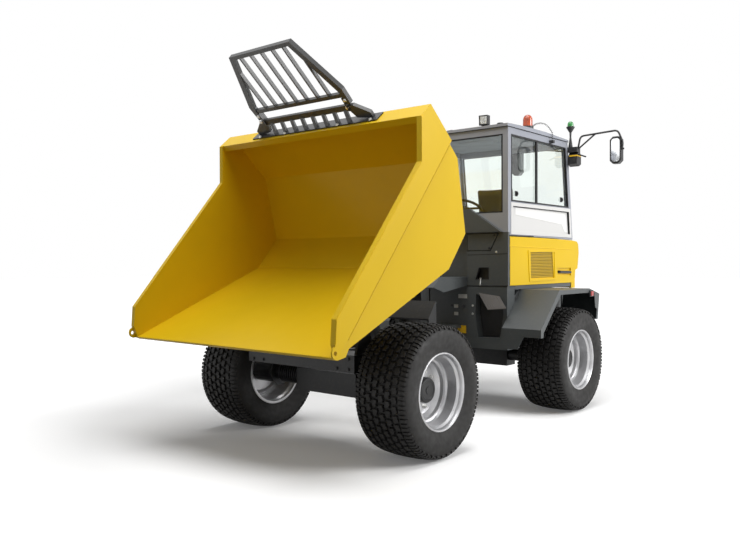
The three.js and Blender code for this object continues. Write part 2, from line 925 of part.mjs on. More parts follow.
function steeringWheelShape() {
  const ring = new THREE.TorusGeometry(steeringRing, 14, 8, 28);
  const boss = new THREE.CylinderGeometry(42, 34, 40, 20).rotateX(Math.PI / 2).translate(0, 0, -12);
  const spokes = [90, 210, 330].map((angle) => {
    const spoke = new THREE.BoxGeometry(steeringRing - 20, 26, 12).translate(steeringRing / 2, 0, 0);
    return toSolid(spoke.rotateZ((angle * Math.PI) / 180));
  });
  return unite([toSolid(ring), toSolid(boss), ...spokes]);
}

// ---------------------------------------------------------------- lamps, mirrors and cord

function workLightShape(y) {
  const x = cabFront - 20;
  const foot = roofTopAt(x - 15);
  const box = block(x - 30, x + 32, y - 48, y + 48, foot + 8, foot + 104);
  const bracket = block(x - 15, x + 15, y - 15, y + 15, foot + touch, foot + 12);
  return unite([box, bracket]);
}

// Top of the roof at x, as high as its crowned profile there.
function roofTopAt(x) {
  const front = cabFront + 12;
  const rear = cabRearTop - 12;
  if (x > -900) return roofUnder + 32 + ((roofCrown - roofUnder - 32) * (front - x)) / (front + 900);
  if (x > -1300) return roofCrown;
  return roofUnder + 24 + ((roofCrown - roofUnder - 24) * (x - rear)) / (-1300 - rear);
}

const beaconX = -1078;
const beaconY = cabHalfWidth - 88;

function amberBeaconShape() {
  const foot = roofCrown + touch;
  const profile = [
    [0, foot],
    [58, foot],
    [58, foot + 38],
    [50, foot + 44],
    [50, foot + 112],
    [40, foot + 140],
    [18, foot + 156],
    [0, foot + 158],
  ];
  return turnedUpright(profile, beaconX, beaconY, 20);
}

const bracketX = -1858;

function greenBeaconShape() {
  const foot = mirrorArmZ + 28 + touch;
  const profile = [
    [0, foot],
    [26, foot],
    [10, foot + 110],
    [12, foot + 170],
    [46, foot + 225],
    [46, foot + 232],
    [32, foot + 236],
    [30, foot + 270],
    [14, foot + 290],
    [0, foot + 292],
  ];
  return turnedUpright(profile, bracketX - 14, cabHalfWidth + 8, 16);
}

const mirrorArmZ = 2715;

// Bracket on the cab's rear corner with a bent arm, its brace and the mirror head.
function sideMirrorShape(side) {
  const x = bracketX;
  const root = side * (cabHalfWidth + touch);
  const plate = block(x - 40, x + 45, root, side * (cabHalfWidth + 110), mirrorArmZ - 28, mirrorArmZ + 28);
  const bend = at(x, side * (cabHalfWidth + 100), mirrorArmZ);
  const top = 2868;
  const armCorners = [
    bend,
    at(x, side * (cabHalfWidth + 130), top - 10),
    at(x, side * (mirrorReach + 15), top + 10),
    at(x, side * (mirrorReach + 75), mirrorArmZ + 20),
    at(x, side * (mirrorReach + 60), mirrorArmZ - 30),
  ];
  const brace = rod(at(x, side * (cabHalfWidth + 95), mirrorArmZ), at(x, side * 1000, top - 2), 9, 10);
  const head = mirrorHead(x - 18, side * (mirrorReach - 5), mirrorArmZ - 45);
  return unite([plate, bentBar(armCorners, 10, 40), brace, head]);
}

function mirrorHead(x, y, z) {
  const half = mirrorWidth / 2;
  const tall = mirrorHeight / 2;
  const cornerCut = 32;
  const points = [
    [y - half, z - tall + cornerCut],
    [y - half + cornerCut, z - tall],
    [y + half - cornerCut, z - tall],
    [y + half, z - tall + cornerCut],
    [y + half, z + tall - cornerCut],
    [y + half - cornerCut, z + tall],
    [y - half + cornerCut, z + tall],
    [y - half, z + tall - cornerCut],
  ];
  return frontView(points, x - 32, x + 32);
}

// Second mirror, hung behind the middle of the rear window from the left bracket.
function middleMirrorShape() {
  const x = rearAt(mirrorArmZ) - 55;
  const start = cabHalfWidth - 20;
  const corners = [
    at(x + 28, start, mirrorArmZ - 10),
    at(x, start - 60, mirrorArmZ),
    at(x, 90, mirrorArmZ + 85),
    at(x, 45, mirrorArmZ - 20),
  ];
  const footRear = rearAt(mirrorArmZ + 5) - 8;
  const foot = block(x + 20, footRear, start - 40, start + 10, mirrorArmZ - 35, mirrorArmZ + 5);
  return unite([bentBar(corners, 9, 30), mirrorHead(x - 10, 45, mirrorArmZ - 80), foot]);
}

function rearLampShape() {
  const x = bracketX;
  const y = cabHalfWidth + 25;
  const profile = [
    [x - 60, 2560],
    [x - 10, 2535],
    [x + 50, 2560],
    [x + 44, 2640],
    [x + 10, mirrorArmZ - 28 - touch],
    [x - 40, mirrorArmZ - 28 - touch],
    [x - 60, 2640],
  ];
  return sideView(profile, y - 20, y + 85);
}

// Curly lead from the beacon over the roof's edge to a socket on the frame: its outer shape.
function beaconCordShape() {
  const points = [
    at(beaconX - 66, beaconY + 2, roofCrown + 26),
    at(beaconX - 122, beaconY + 10, roofCrown + 68),
    at(beaconX - 192, beaconY + 33, roofCrown + 93),
    at(beaconX - 262, beaconY + 63, roofCrown + 88),
    at(beaconX - 307, beaconY + 90, roofCrown + 48),
    at(beaconX - 330, beaconY + 110, roofCrown),
    at(beaconX - 324, beaconY + 112, roofUnder),
    at(beaconX - 320, beaconY + 112, roofUnder - 30),
  ];
  return alongPath(new THREE.CatmullRomCurve3(points), cordRadius, 30, 8);
}

const cordRadius = 9; // outer radius of the coiled lead

function cordSocketShape() {
  const x = beaconX - 320;
  return block(x - 18, x + 18, cabHalfWidth + touch, cabHalfWidth + 45, roofUnder - 62, roofUnder - 32);
}

// ---------------------------------------------------------------- front frame

const supportTopX = tipPivotX - 1024;
const supportTopZ = 1150;
const supportFootX = tipPivotX - 914;
const supportFootZ = 1000;
const supportHalfWidth = 520;
const frontBoxRear = tipPivotX - 80;
const frontBoxFront = tipPivotX + 160;
const frontWallX = 280;

function frontChassisShape() {
  const tongueGap = 10;
  const bore = steerPinRadius + 1.5;
  const wallFront = frontWallX + 30;
  const lowTongue = yokeBottom + yokePlate + tongueGap;
  const highTongue = yokeTop - yokePlate - tongueGap;
  const parts = [
    block(frontWallX, wallFront, -frontRail - railWall, frontRail + railWall, yokeBottom - 20, yokeTop),
    yokeShape(frontWallX + 1, 150, lowTongue, lowTongue + yokePlate, bore),
    yokeShape(frontWallX + 1, 150, highTongue - yokePlate, highTongue, bore),
    block(frontBoxRear, frontBoxFront, -600, 600, 655, 790),
    supportPlate(),
    block(
      supportTopX - 16,
      supportTopX + 64,
      -supportHalfWidth,
      supportHalfWidth,
      railTop - 10,
      railTop + 60,
    ),
    block(wallFront - 5, tipBaseX + 60, -120, 120, yokeBottom - 20, yokeBottom + 5),
    rod(at(tipBaseX, -50, tipBaseZ), at(tipBaseX, 50, tipBaseZ), 18, 16),
  ];
  for (const [, side] of bothSides) {
    const inner = side * frontRail;
    const outer = side * (frontRail + railWall);
    parts.push(block(wallFront - 5, frontBoxRear + 5, inner, outer, railBottom, railTop));
    const saddle = tyreRadius + axleTube + touch;
    parts.push(block(axleFrontX - 70, axleFrontX + 70, inner, outer, saddle, railBottom + 5));
    parts.push(supportGusset(side), tipBracket(side), tipBaseEar(side));
    parts.push(...steeringEars(frontWallX, steerEyeX, side));
  }
  return unite(parts);
}

// Sloping plate that the carrying skip leans against.
function supportPlate() {
  const plate = 15;
  const points = [
    [supportTopX, supportTopZ],
    [supportFootX, supportFootZ],
    [supportFootX - plate, supportFootZ - plate],
    [supportTopX - plate, supportTopZ - plate],
  ];
  return sideView(points, -supportHalfWidth, supportHalfWidth);
}

function supportGusset(side) {
  const points = [
    [supportTopX - 4, supportTopZ - 8],
    [supportFootX - 4, supportFootZ - 8],
    [supportFootX - 30, railTop + 50],
    [supportTopX - 16, railTop + 50],
    [supportTopX - 6, supportTopZ - 25],
  ];
  return sideView(points, side * (supportHalfWidth - 15), side * supportHalfWidth);
}

// Upright plate that carries a tip pivot pin.
function tipBracket(side) {
  const inner = lugInner - runningGap - 22;
  const outer = lugInner - runningGap;
  const points = [
    [tipPivotX - 75, 780],
    [tipPivotX + 110, 780],
    ...roundEnd(tipPivotX, tipPivotZ, 48, -20, 200),
  ];
  const pinEnd = lugInner + lugPlate + 6;
  const pinFrom = at(tipPivotX, side * inner, tipPivotZ);
  const pin = rod(pinFrom, at(tipPivotX, side * pinEnd, tipPivotZ), tipPinRadius, 20);
  return unite([sideView(points, side * inner, side * outer), pin]);
}

// Points on an arc about (x, z), from one angle to the other in degrees.
function roundEnd(x, z, radius, from, to, steps = 8) {
  return Array.from({ length: steps + 1 }, (_, i) => {
    const angle = ((from + ((to - from) * i) / steps) * Math.PI) / 180;
    return [x + radius * Math.cos(angle), z + radius * Math.sin(angle)];
  });
}

const tipEyeHalf = 30; // half the width of the tipping cylinder's eyes

function tipBaseEar(side) {
  const inner = tipEyeHalf + runningGap;
  const points = [
    [tipBaseX - 45, yokeBottom],
    [tipBaseX + 45, yokeBottom],
    ...roundEnd(tipBaseX, tipBaseZ, 34, 0, 180),
  ];
  return sideView(points, side * inner, side * (inner + 16));
}

// ---------------------------------------------------------------- cylinders

// Where the barrel's full width begins, clear of the ears round its base eye.
function barrelStart(eye) {
  return eye + 3 * runningGap;
}

// A hydraulic cylinder's barrel along +X, its base eye at the origin.
function barrelShape(length, radius, bore, eye, half, pin) {
  const boss = rod(at(0, -half, 0), at(0, half, 0), eye, 20);
  const start = barrelStart(eye);
  const neck = rod(at(eye * 0.8, 0, 0), at(start + 5, 0, 0), half - 2, 16);
  const body = unite([neck, rod(at(start, 0, 0), at(length, 0, 0), radius, 20)]);
  const inside = rod(at(start + barrelEnd, 0, 0), at(length + 5, 0, 0), bore, 20);
  const hole = rod(at(0, -half - 5, 0), at(0, half + 5, 0), pin, 16);
  return cut(unite([boss, body]), [inside, hole]);
}

// The rod along +X, with its eye at x = length.
function pistonRodShape(length, from, radius, eye, half) {
  const stem = rod(at(from, 0, 0), at(length - eye * 0.5, 0, 0), radius, 16);
  return unite([stem, rod(at(length, -half, 0), at(length, half, 0), eye, 20)]);
}

// The tipping cylinder's rod eye, from its base eye, with the skip at an angle.
function tipReach(angle) {
  const turn = (angle * Math.PI) / 180;
  const x = tipPivotX + tipEyeX * Math.cos(turn) + tipEyeZ * Math.sin(turn);
  const z = tipPivotZ - tipEyeX * Math.sin(turn) + tipEyeZ * Math.cos(turn);
  return [x - tipBaseX, z - tipBaseZ];
}

function addTipCylinder(group) {
  const baseEye = 42;
  const [reachX, reachZ] = tipReach(tipAngle);
  const length = Math.hypot(reachX, reachZ);
  const closed = Math.hypot(...tipReach(0));
  const cylinder = new THREE.Group();
  cylinder.position.set(tipBaseX, 0, tipBaseZ);
  cylinder.rotation.y = -Math.atan2(reachZ, reachX);
  const barrel = barrelShape(tipBarrelLength, tipBarrelRadius, tipRodRadius + 5, baseEye, tipEyeHalf, 22);
  const inserted = barrelStart(baseEye) + barrelEnd + runningGap + length - closed;
  addPart(cylinder, "tip_barrel", barrel, blackPaint);
  addPart(cylinder, "tip_rod", pistonRodShape(length, inserted, tipRodRadius, 38, tipEyeHalf), chrome);
  group.add(cylinder);
}

// Steering cylinders lie level, with their eyes on upright pins.
function addSteerCylinder(group, name, side) {
  const cylinder = new THREE.Group();
  cylinder.position.set(steerBaseX, side * steerCylinderY, steerCylinderZ);
  cylinder.rotation.x = Math.PI / 2;
  const length = steerEyeX - steerBaseX;
  const barrel = barrelShape(480, steerBarrelRadius, steerRodRadius + 5, 26, eyeHalf, 13);
  addPart(cylinder, `${name}_steer_barrel`, barrel, blackPaint);
  addPart(cylinder, `${name}_steer_rod`, pistonRodShape(length, 340, steerRodRadius, 24, eyeHalf), chrome);
  group.add(cylinder);
}

// ---------------------------------------------------------------- skip

const skipSide = [
  [skipFloorFront, -skipFloorDrop],
  [600, 523],
  [662, 514],
  [726, 569],
  [skipLipX, skipLipZ],
  [678, 681],
  [549, skipRim],
  [-869, skipRim],
  [skipBrow + flangeDepth, skipRearTop + 27],
  [skipBrow, skipRearTop],
  [skipRear, skipSlopeTop],
  [skipFloorRear, -skipFloorDrop],
];

// Underside of the skip's long front plate.
function skipUnderside(x) {
  const rise = (523 + skipFloorDrop) / (600 - skipFloorFront);
  return rise * (x - skipFloorFront) - skipFloorDrop;
}

// Room inside the skip, open above and in front.
function skipRoom() {
  const t = skipPlate;
  const rise = (skipLipZ + skipFloorDrop) / (skipLipX - skipFloorFront);
  const lean = (skipRear - skipBrow) / (skipRearTop - skipSlopeTop);
  const far = 400;
  return [
    [skipFloorFront - 3, t - skipFloorDrop],
    [skipLipX + far, skipLipZ + t + 1 + rise * far],
    [skipLipX + far, 2000],
    [skipBrow + t - lean * (2000 - skipRearTop), 2000],
    [skipRear + t, skipSlopeTop + 4],
    [skipFloorRear + 4, t - skipFloorDrop],
  ];
}

// Folded flange along the skip's rear edge.
function skipFlange() {
  const front = skipBrow + flangeDepth;
  const points = [
    [skipBrow, skipRearTop],
    [front, skipRearTop + 27],
    [front + 6, skipRearTop - 30],
    [front - 4, skipRearTop - 32],
    [front - 10, skipRearTop + 14],
    [skipBrow + 5, skipRearTop - 11],
  ];
  const half = skipHalfWidth - bandDepth;
  return sideView(points, -half, half);
}

// Hook eye on each front corner.
function skipEye(side) {
  const points = roundEnd(skipLipX - 22, skipLipZ + 40, 45, 0, 330, 11);
  const plate = sideView(points, side * skipHalfWidth, side * (skipHalfWidth - 14));
  const hole = rod(
    at(skipLipX - 12, side * (skipHalfWidth + 5), skipLipZ + 50),
    at(skipLipX - 12, side * (skipHalfWidth - 20), skipLipZ + 50),
    15,
    14,
  );
  return cut(plate, [hole]);
}

// Lug that hangs the skip on its tip pivot pin.
function skipLug(side) {
  const sunk = 3;
  const points = [
    [-150, skipUnderside(-150) + sunk],
    ...roundEnd(0, 0, 48, 200, 340),
    [170, skipUnderside(170) + sunk],
  ];
  const y0 = side * lugInner;
  const y1 = side * (lugInner + lugPlate);
  const bore = rod(at(0, y0 - side * 5, 0), at(0, y1 + side * 5, 0), tipPinRadius + 1.5, 20);
  return cut(sideView(points, y0, y1), [bore]);
}

// Ear beside the tipping cylinder's rod eye.
function skipRodEar(side) {
  const inner = tipEyeHalf + runningGap + 2;
  const points = [
    [skipFloorRear + 230, -skipFloorDrop + 2],
    [tipEyeX - 42, tipEyeZ],
    ...roundEnd(tipEyeX, tipEyeZ, 40, 190, 350),
    [tipEyeX + 100, skipUnderside(tipEyeX + 100) + 3],
    [skipFloorFront, -skipFloorDrop + 3],
  ];
  return sideView(points, side * inner, side * (inner + 16));
}

// Section across the skip: a band out to `half` above the crease, then plates that lean in.
function skipSection(half, band) {
  const above = 2000;
  const below = -400;
  const lean = (z) => half - bandDepth + (z - bandFoot) * plateLean;
  const right = [
    [lean(below), below],
    [lean(bandFoot), bandFoot],
    [band, bandFoot + bandDepth],
    [band, above],
  ];
  const left = right.map(([y, z]) => [-y, z]).reverse();
  return frontView([...right, ...left], -2000, 1500);
}

const bandFoot = 568; // lower edge of the band, from the tip pivot
const bandDepth = 32; // how far the band stands out from the plates below it
const plateLean = 0.024;

// Room inside each hollow band, open below.
function bandRoom(side) {
  const t = skipPlate;
  const points = [
    [skipRear + t, bandFoot - 40],
    [700, bandFoot - 40],
    [skipLipX - t, skipLipZ],
    [678 - t, 681 - t],
    [549 - t, skipRim - t],
    [-869 - t / 2, skipRim - t],
    [skipBrow + flangeDepth, skipRearTop + 27 - t * 1.6],
    [skipBrow + t * 1.5, skipRearTop - t],
  ];
  return sideView(points, side * (skipHalfWidth - bandDepth), side * (skipHalfWidth - t));
}

function skipShape() {
  const half = skipHalfWidth;
  const t = skipPlate;
  const outer = sideView(skipSide, -half - 5, half + 5).intersect(skipSection(half, half));
  const room = sideView(skipRoom(), -half, half).intersect(
    skipSection(half - t, half - bandDepth - t),
  );
  const shell = cut(outer, [room, ...bothSides.map(([, side]) => bandRoom(side))]);
  const fittings = bothSides.flatMap(([, side]) => [skipEye(side), skipLug(side), skipRodEar(side)]);
  return unite([shell, skipFlange(), ...fittings]);
}

// Grille that stands on the skip's rear edge, in front of the windscreen.
function guardShape() {
  const x = guardX;
  const thick = 14;
  const barWidth = 46;
  const parts = [
    block(x - 20, x + 20, -guardTopHalf, guardTopHalf, guardTop - 16, guardTop + 18),
    block(x - 18, x + 14, 30 - guardHalf, guardHalf - 30, guardBarZ - 17, guardBarZ + 17),
  ];
  for (const [, side] of bothSides) {
    const bar = [
      [side * (guardHalf - 4), guardPlateZ],
      [side * guardHalf, guardKneeZ],
      [side * guardTopHalf, guardTop + 18],
      [side * (guardTopHalf - barWidth), guardTop + 18],
      [side * (guardHalf - barWidth), guardKneeZ - 20],
      [side * (guardHalf - barWidth), guardPlateZ],
    ];
    parts.push(frontView(side > 0 ? bar : bar.reverse(), x - 20, x + 20));
  }
  const middle = (guardSlats - 1) / 2;
  for (let i = 0; i < guardSlats; i++) {
    const y = (i - middle) * guardPitch;
    const run = (guardHalf - barWidth / 2 - Math.abs(y)) / (guardHalf - guardTopHalf);
    const top = Math.min(guardTop, guardKneeZ + run * (guardTop - guardKneeZ));
    parts.push(block(x - 16, x + 16, y - thick / 2, y + thick / 2, guardBarZ, top));
  }
  return unite(parts);
}

const guardX = -1218;
const guardPitch = 120;
const guardPlateZ = 1140; // lower end of the grille's side bars

// Bolted foot of the grille: crossbar, short slats, side plates and a base on the flange.
function guardFootShape() {
  const x = guardX;
  const barZ = 1102;
  const reach = 470;
  const slope = 27 / flangeDepth;
  const flangeZ = (px) => skipRearTop + touch + (px - skipBrow) * slope;
  const parts = [block(x - 10, x + 14, -reach, reach, barZ - 26, barZ + 26)];
  for (const [, side] of bothSides) {
    const cheek = [
      [x - 26, barZ - 22],
      [x - 30, guardPlateZ + 64],
      [x + 24, guardPlateZ + 64],
      [x + 30, barZ - 22],
    ];
    const inner = guardHalf - 46 - 12 - touch;
    parts.push(sideView(cheek, side * inner, side * (inner + 12)));
    const leg = [
      [side * (inner + 2), barZ + 24],
      [side * (inner + 60), barZ + 20],
      [side * (guardFoot - 60), flangeZ(x) + 60],
      [side * (guardFoot - 60), flangeZ(x) + 8],
      [side * (inner + 30), flangeZ(x) + 30],
      [side * (inner + 2), barZ - 26],
    ];
    parts.push(frontView(side > 0 ? leg : leg.reverse(), x - 14, x + 18));
  }
  const base = [
    [x - 42, flangeZ(x - 42)],
    [x + 62, flangeZ(x + 62)],
    [x + 62, flangeZ(x + 62) + 10],
    [x - 42, flangeZ(x - 42) + 10],
  ];
  parts.push(sideView(base, -guardFoot, guardFoot));
  for (let i = 0; i <= guardSlats; i++) {
    const y = (i - guardSlats / 2) * guardPitch;
    const slat = [
      [x - 10, barZ],
      [x + 8, barZ],
      [x + 50, flangeZ(x + 50) + 5],
      [x + 26, flangeZ(x + 26) + 5],
    ];
    parts.push(sideView(slat, y - 17, y + 17));
  }
  return unite(parts);
}

// ---------------------------------------------------------------- assembly

const machine = new THREE.Group();
const rearFrame = new THREE.Group();
const frontFrame = new THREE.Group();
machine.add(rearFrame, frontFrame);

addPart(rearFrame, "rear_chassis", rearChassisShape(), darkGrey);
addPart(rearFrame, "rear_axle", axleShape(axleRearX), blackPaint);
addPart(rearFrame, "steering_pin", steeringPinShape(), blackPaint);
addPart(rearFrame, "front_bulkhead", bulkheadShape(), darkGrey);
addPart(rearFrame, "front_cowl", cowlShape(), darkGrey);
addPart(rearFrame, "deck_nose", deckNoseShape(), darkGrey);
addPart(rearFrame, "service_hatch", frontView(hatchOutline(0), cabFront - 22, cabFront), darkGrey);
for (const [name, side] of bothSides) {
  addPart(rearFrame, `${name}_tank`, tankShape(side), darkGrey);
  addPart(rearFrame, `${name}_fender`, fenderShape(side), darkGrey);
  addPart(rearFrame, `${name}_work_light`, workLightShape(side * 430), blackPlastic);
  addPart(rearFrame, `${name}_mirror`, sideMirrorShape(side), blackPlastic);
}
addPart(rearFrame, "engine_block", engineShape(), engineGrey);
addPart(rearFrame, "cab_floor", tubShape(), darkGrey);
addPart(rearFrame, "cab_frame", cabFrameShape(), cabGrey);
addPart(rearFrame, "cab_roof", roofShape(), cabGrey);
addPart(rearFrame, "windscreen", windscreenShape(), clearGlass);
addPart(rearFrame, "rear_window", rearWindowShape(), clearGlass);
addPart(rearFrame, "left_window", sidePane(sideWindowSill, cabHeader, cabFront - cabPillar, 1), clearGlass);
const rightPane = sidePane(sideWindowSill, cabHeader, doorRear - cabPillar, -1);
addPart(rearFrame, "right_window", rightPane, clearGlass);
addPart(
  rearFrame,
  "left_lower_pane",
  sidePane(cabSill + 40, sideWindowSill - 40, cabFront - cabPillar, 1),
  whitePanel,
);
addPart(rearFrame, "left_side_panel", leftPanelShape(), yellow);
addPart(rearFrame, "right_side_panel", rightPanelShape(), yellow);
addPart(rearFrame, "cab_door", doorFrameShape(), cabGrey);
addPart(rearFrame, "door_glass", doorGlassShape(), clearGlass);
addPart(rearFrame, "engine_hood", hoodShape(), yellow);
addPart(rearFrame, "station_base", turntableShape(), blackPlastic);
addPart(rearFrame, "operator_seat", seatShape(), seatCloth);
const steeringWheel = new THREE.Group();
steeringWheel.position.set(stationX + 370, 0, 2058);
steeringWheel.rotation.y = (-wheelTilt * Math.PI) / 180;
addPart(steeringWheel, "steering_wheel", steeringWheelShape(), blackPlastic);
rearFrame.add(steeringWheel);
addPart(rearFrame, "amber_beacon", amberBeaconShape(), amberLens);
addPart(rearFrame, "green_beacon", greenBeaconShape(), greenLens);
addPart(rearFrame, "middle_mirror", middleMirrorShape(), blackPlastic);
addPart(rearFrame, "rear_work_light", rearLampShape(), blackPlastic);
addPart(rearFrame, "beacon_cord", beaconCordShape(), blackPlastic);
addPart(rearFrame, "cord_socket", cordSocketShape(), blackPlastic);

addPart(frontFrame, "front_chassis", frontChassisShape(), blackPaint);
addPart(frontFrame, "front_axle", axleShape(axleFrontX), blackPaint);
for (const [name, side] of bothSides) {
  addWheel(machine, `front_${name}`, axleFrontX, side);
  addWheel(machine, `rear_${name}`, axleRearX, side);
  addSteerCylinder(machine, name, side);
}
addTipCylinder(frontFrame);

const skip = new THREE.Group();
skip.position.set(tipPivotX, 0, tipPivotZ);
skip.rotation.y = (tipAngle * Math.PI) / 180;
addPart(skip, "skip", skipShape(), yellow);
addPart(skip, "skip_guard", guardShape(), blackPaint);
addPart(skip, "guard_foot", guardFootShape(), blackPaint);
frontFrame.add(skip);

// The part's origin is at the middle of its footprint box, on the ground.
machine.updateMatrixWorld(true);
const extent = new THREE.Box3().setFromObject(machine, true);
machine.position.set(-(extent.min.x + extent.max.x) / 2, -(extent.min.y + extent.max.y) / 2, -extent.min.z);

const part = new THREE.Group();
part.add(machine);

export default part;
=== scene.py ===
"""Looks of the site dumper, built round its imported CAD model. Metres, row frame."""

import json
import math

import bmesh
import bpy
from mathutils import Matrix, Vector


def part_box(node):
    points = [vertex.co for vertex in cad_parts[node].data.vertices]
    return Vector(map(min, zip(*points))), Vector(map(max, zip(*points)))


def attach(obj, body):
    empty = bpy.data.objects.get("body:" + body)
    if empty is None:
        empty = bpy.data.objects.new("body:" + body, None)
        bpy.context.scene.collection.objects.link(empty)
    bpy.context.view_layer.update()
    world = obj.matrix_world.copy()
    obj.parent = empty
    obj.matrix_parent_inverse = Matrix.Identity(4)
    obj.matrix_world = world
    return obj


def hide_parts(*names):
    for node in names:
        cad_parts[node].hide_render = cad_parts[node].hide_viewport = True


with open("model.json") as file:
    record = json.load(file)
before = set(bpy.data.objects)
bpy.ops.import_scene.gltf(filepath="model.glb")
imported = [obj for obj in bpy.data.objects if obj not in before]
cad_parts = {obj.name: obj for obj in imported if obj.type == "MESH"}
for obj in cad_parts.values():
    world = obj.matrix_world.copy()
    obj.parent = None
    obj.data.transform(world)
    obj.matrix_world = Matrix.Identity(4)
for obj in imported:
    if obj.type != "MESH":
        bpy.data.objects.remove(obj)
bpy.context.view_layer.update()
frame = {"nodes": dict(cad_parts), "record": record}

REAR = "rear_frame"
HANDS = (("left", 1), ("right", -1))


def middle_x(node):
    low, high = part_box(node)
    return (low[0] + high[0]) / 2


# Halfway between the axles, at the ground: sizes below are millimetres from there.
HOME_X = (middle_x("front_left_tyre") + middle_x("rear_left_tyre")) / 2


WHEEL_X, WHEEL_Y, WHEEL_Z = 1216.0, 913.0, 517.5  # the front left wheel's centre
TIP_X, TIP_Z, TIP_ANGLE = 1460.0, 1060.0, math.radians(50)  # the skip's pivot, and how far it is tipped


def at(x, y, z):
    """A point in the frame's metres."""
    return Vector((HOME_X + x / 1000, y / 1000, z / 1000))


def skip_at(x, y, z):
    """A point of the skip, given from its pivot as it lies when it carries."""
    turned_x = x * math.cos(TIP_ANGLE) + z * math.sin(TIP_ANGLE)
    turned_z = -x * math.sin(TIP_ANGLE) + z * math.cos(TIP_ANGLE)
    return at(TIP_X + turned_x, y, TIP_Z + turned_z)


def new_object(name, data):
    obj = bpy.data.objects.new(name, data)
    bpy.context.scene.collection.objects.link(obj)
    return obj


# -------------------- camera

# Place, angles and lens were found by matching the machine's corners in the photo.
LENS_MM = 36.69
yaw, pitch, roll = math.radians(220.0), math.radians(-0.63), math.radians(-0.15)
gaze = Vector((math.cos(pitch) * math.cos(yaw), math.cos(pitch) * math.sin(yaw), math.sin(pitch)))
side = gaze.cross(Vector((0, 0, 1))).normalized()
above = side.cross(gaze)
turned_side = side * math.cos(roll) + above * math.sin(roll)
turned_above = above * math.cos(roll) - side * math.sin(roll)
camera_data = bpy.data.cameras.new("camera")
camera_data.sensor_width = 36.0
camera_data.lens = LENS_MM
camera_data.clip_end = 200.0
camera = new_object("camera", camera_data)
turn = Matrix((turned_side, turned_above, -gaze)).transposed()
camera.matrix_world = Matrix.Translation(at(5904, 4353, 1501)) @ turn.to_4x4()
bpy.context.scene.camera = camera

# -------------------- materials


class Nodes:
    """A node material with the shader's own sockets at hand."""

    def __init__(self, name):
        self.material = bpy.data.materials.new(name)
        self.material.use_nodes = True
        self.tree = self.material.node_tree
        self.shader = self.tree.nodes["Principled BSDF"]
        self.place = self.add("ShaderNodeTexCoord").outputs["Object"]

    def add(self, kind, **values):
        node = self.tree.nodes.new(kind)
        for key, value in values.items():
            setattr(node, key, value)
        return node

    def link(self, out, into):
        self.tree.links.new(out, into)

    def noise(self, scale, detail=4.0, rough=0.5, stretch=None):
        node = self.add("ShaderNodeTexNoise")
        node.inputs["Scale"].default_value = scale
        node.inputs["Detail"].default_value = detail
        node.inputs["Roughness"].default_value = rough
        place = self.place
        if stretch:
            mapping = self.add("ShaderNodeMapping")
            mapping.inputs["Scale"].default_value = stretch
            self.link(place, mapping.inputs["Vector"])
            place = mapping.outputs["Vector"]
        self.link(place, node.inputs["Vector"])
        return node.outputs["Fac"]

    def ramp(self, source, stops):
        node = self.add("ShaderNodeValToRGB")
        elements = node.color_ramp.elements
        while len(elements) < len(stops):
            elements.new(0.5)
        for element, (where, colour) in zip(elements, stops):
            element.position = where
            element.color = colour if len(colour) == 4 else (*colour, 1.0)
        self.link(source, node.inputs["Fac"])
        return node.outputs["Color"]

    def span(self, source, low, high, into_low, into_high):
        node = self.add("ShaderNodeMapRange")
        for name, value in zip(
            ("From Min", "From Max", "To Min", "To Max"), (low, high, into_low, into_high)
        ):
            node.inputs[name].default_value = value
        self.link(source, node.inputs["Value"])
        return node.outputs["Result"]

    def mix(self, factor, first, second):
        # The node's sockets 6 and 7 are its two colours, and its output 2 is their mix.
        node = self.add("ShaderNodeMix", data_type="RGBA")
        self.link(factor, node.inputs["Factor"])
        for socket, value in ((node.inputs[6], first), (node.inputs[7], second)):
            if isinstance(value, (tuple, list)):
                socket.default_value = (*value, 1.0)
            else:
                self.link(value, socket)
        return node.outputs[2]

    def bump(self, height, strength, distance):
        node = self.add("ShaderNodeBump")
        node.inputs["Strength"].default_value = strength
        node.inputs["Distance"].default_value = distance
        self.link(height, node.inputs["Height"])
        self.link(node.outputs["Normal"], self.shader.inputs["Normal"])

    def set(self, **values):
        for key, value in values.items():
            self.shader.inputs[key.replace("_", " ")].default_value = value

    def roughness(self, noise, low, high, start=0.3, stop=0.7):
        """Uneven gloss, from low to high where the noise rises from start to stop."""
        self.link(self.span(noise, start, stop, low, high), self.shader.inputs["Roughness"])

    def clouds(self, noise, colour, dark, light, where=0.7):
        """The colour, darker and lighter where the noise falls and rises."""
        return self.ramp(noise, [(0.3, shade(colour, dark)), (where, shade(colour, light))])

    def base(self, colour):
        self.link(colour, self.shader.inputs["Base Color"])


def shade(colour, factor):
    return tuple(min(1.0, c * factor) for c in colour)


DUST = (0.3, 0.27, 0.22)


def paint(name, colour, rough, coat=0.0, vary=0.06, dust=0.0, peel=0.12, gloss=0.35):
    """Sprayed paint: faint cloudiness, orange peel, a little dust, uneven gloss."""
    nodes = Nodes(name)
    cloud = nodes.clouds(nodes.noise(1.7, 3.0), colour, 1 - vary, 1 + vary)
    speck = nodes.span(nodes.noise(34.0, 6.0, 0.7), 0.52, 0.75, 0.0, dust)
    nodes.base(nodes.mix(speck, cloud, DUST))
    nodes.roughness(nodes.noise(6.0, 5.0, 0.6), rough - 0.02, rough + 0.03)
    nodes.bump(nodes.noise(260.0, 2.0), peel, 0.0004)
    nodes.set(Coat_Weight=coat, Coat_Roughness=0.16, Specular_IOR_Level=gloss)
    return nodes.material


def plastic(name, colour, rough, grain=0.35):
    nodes = Nodes(name)
    nodes.base(nodes.clouds(nodes.noise(5.0, 3.0), colour, 0.88, 1.14))
    nodes.roughness(nodes.noise(18.0), rough - 0.06, rough + 0.08)
    nodes.bump(nodes.noise(420.0, 3.0, 0.65), grain, 0.0006)
    return nodes.material


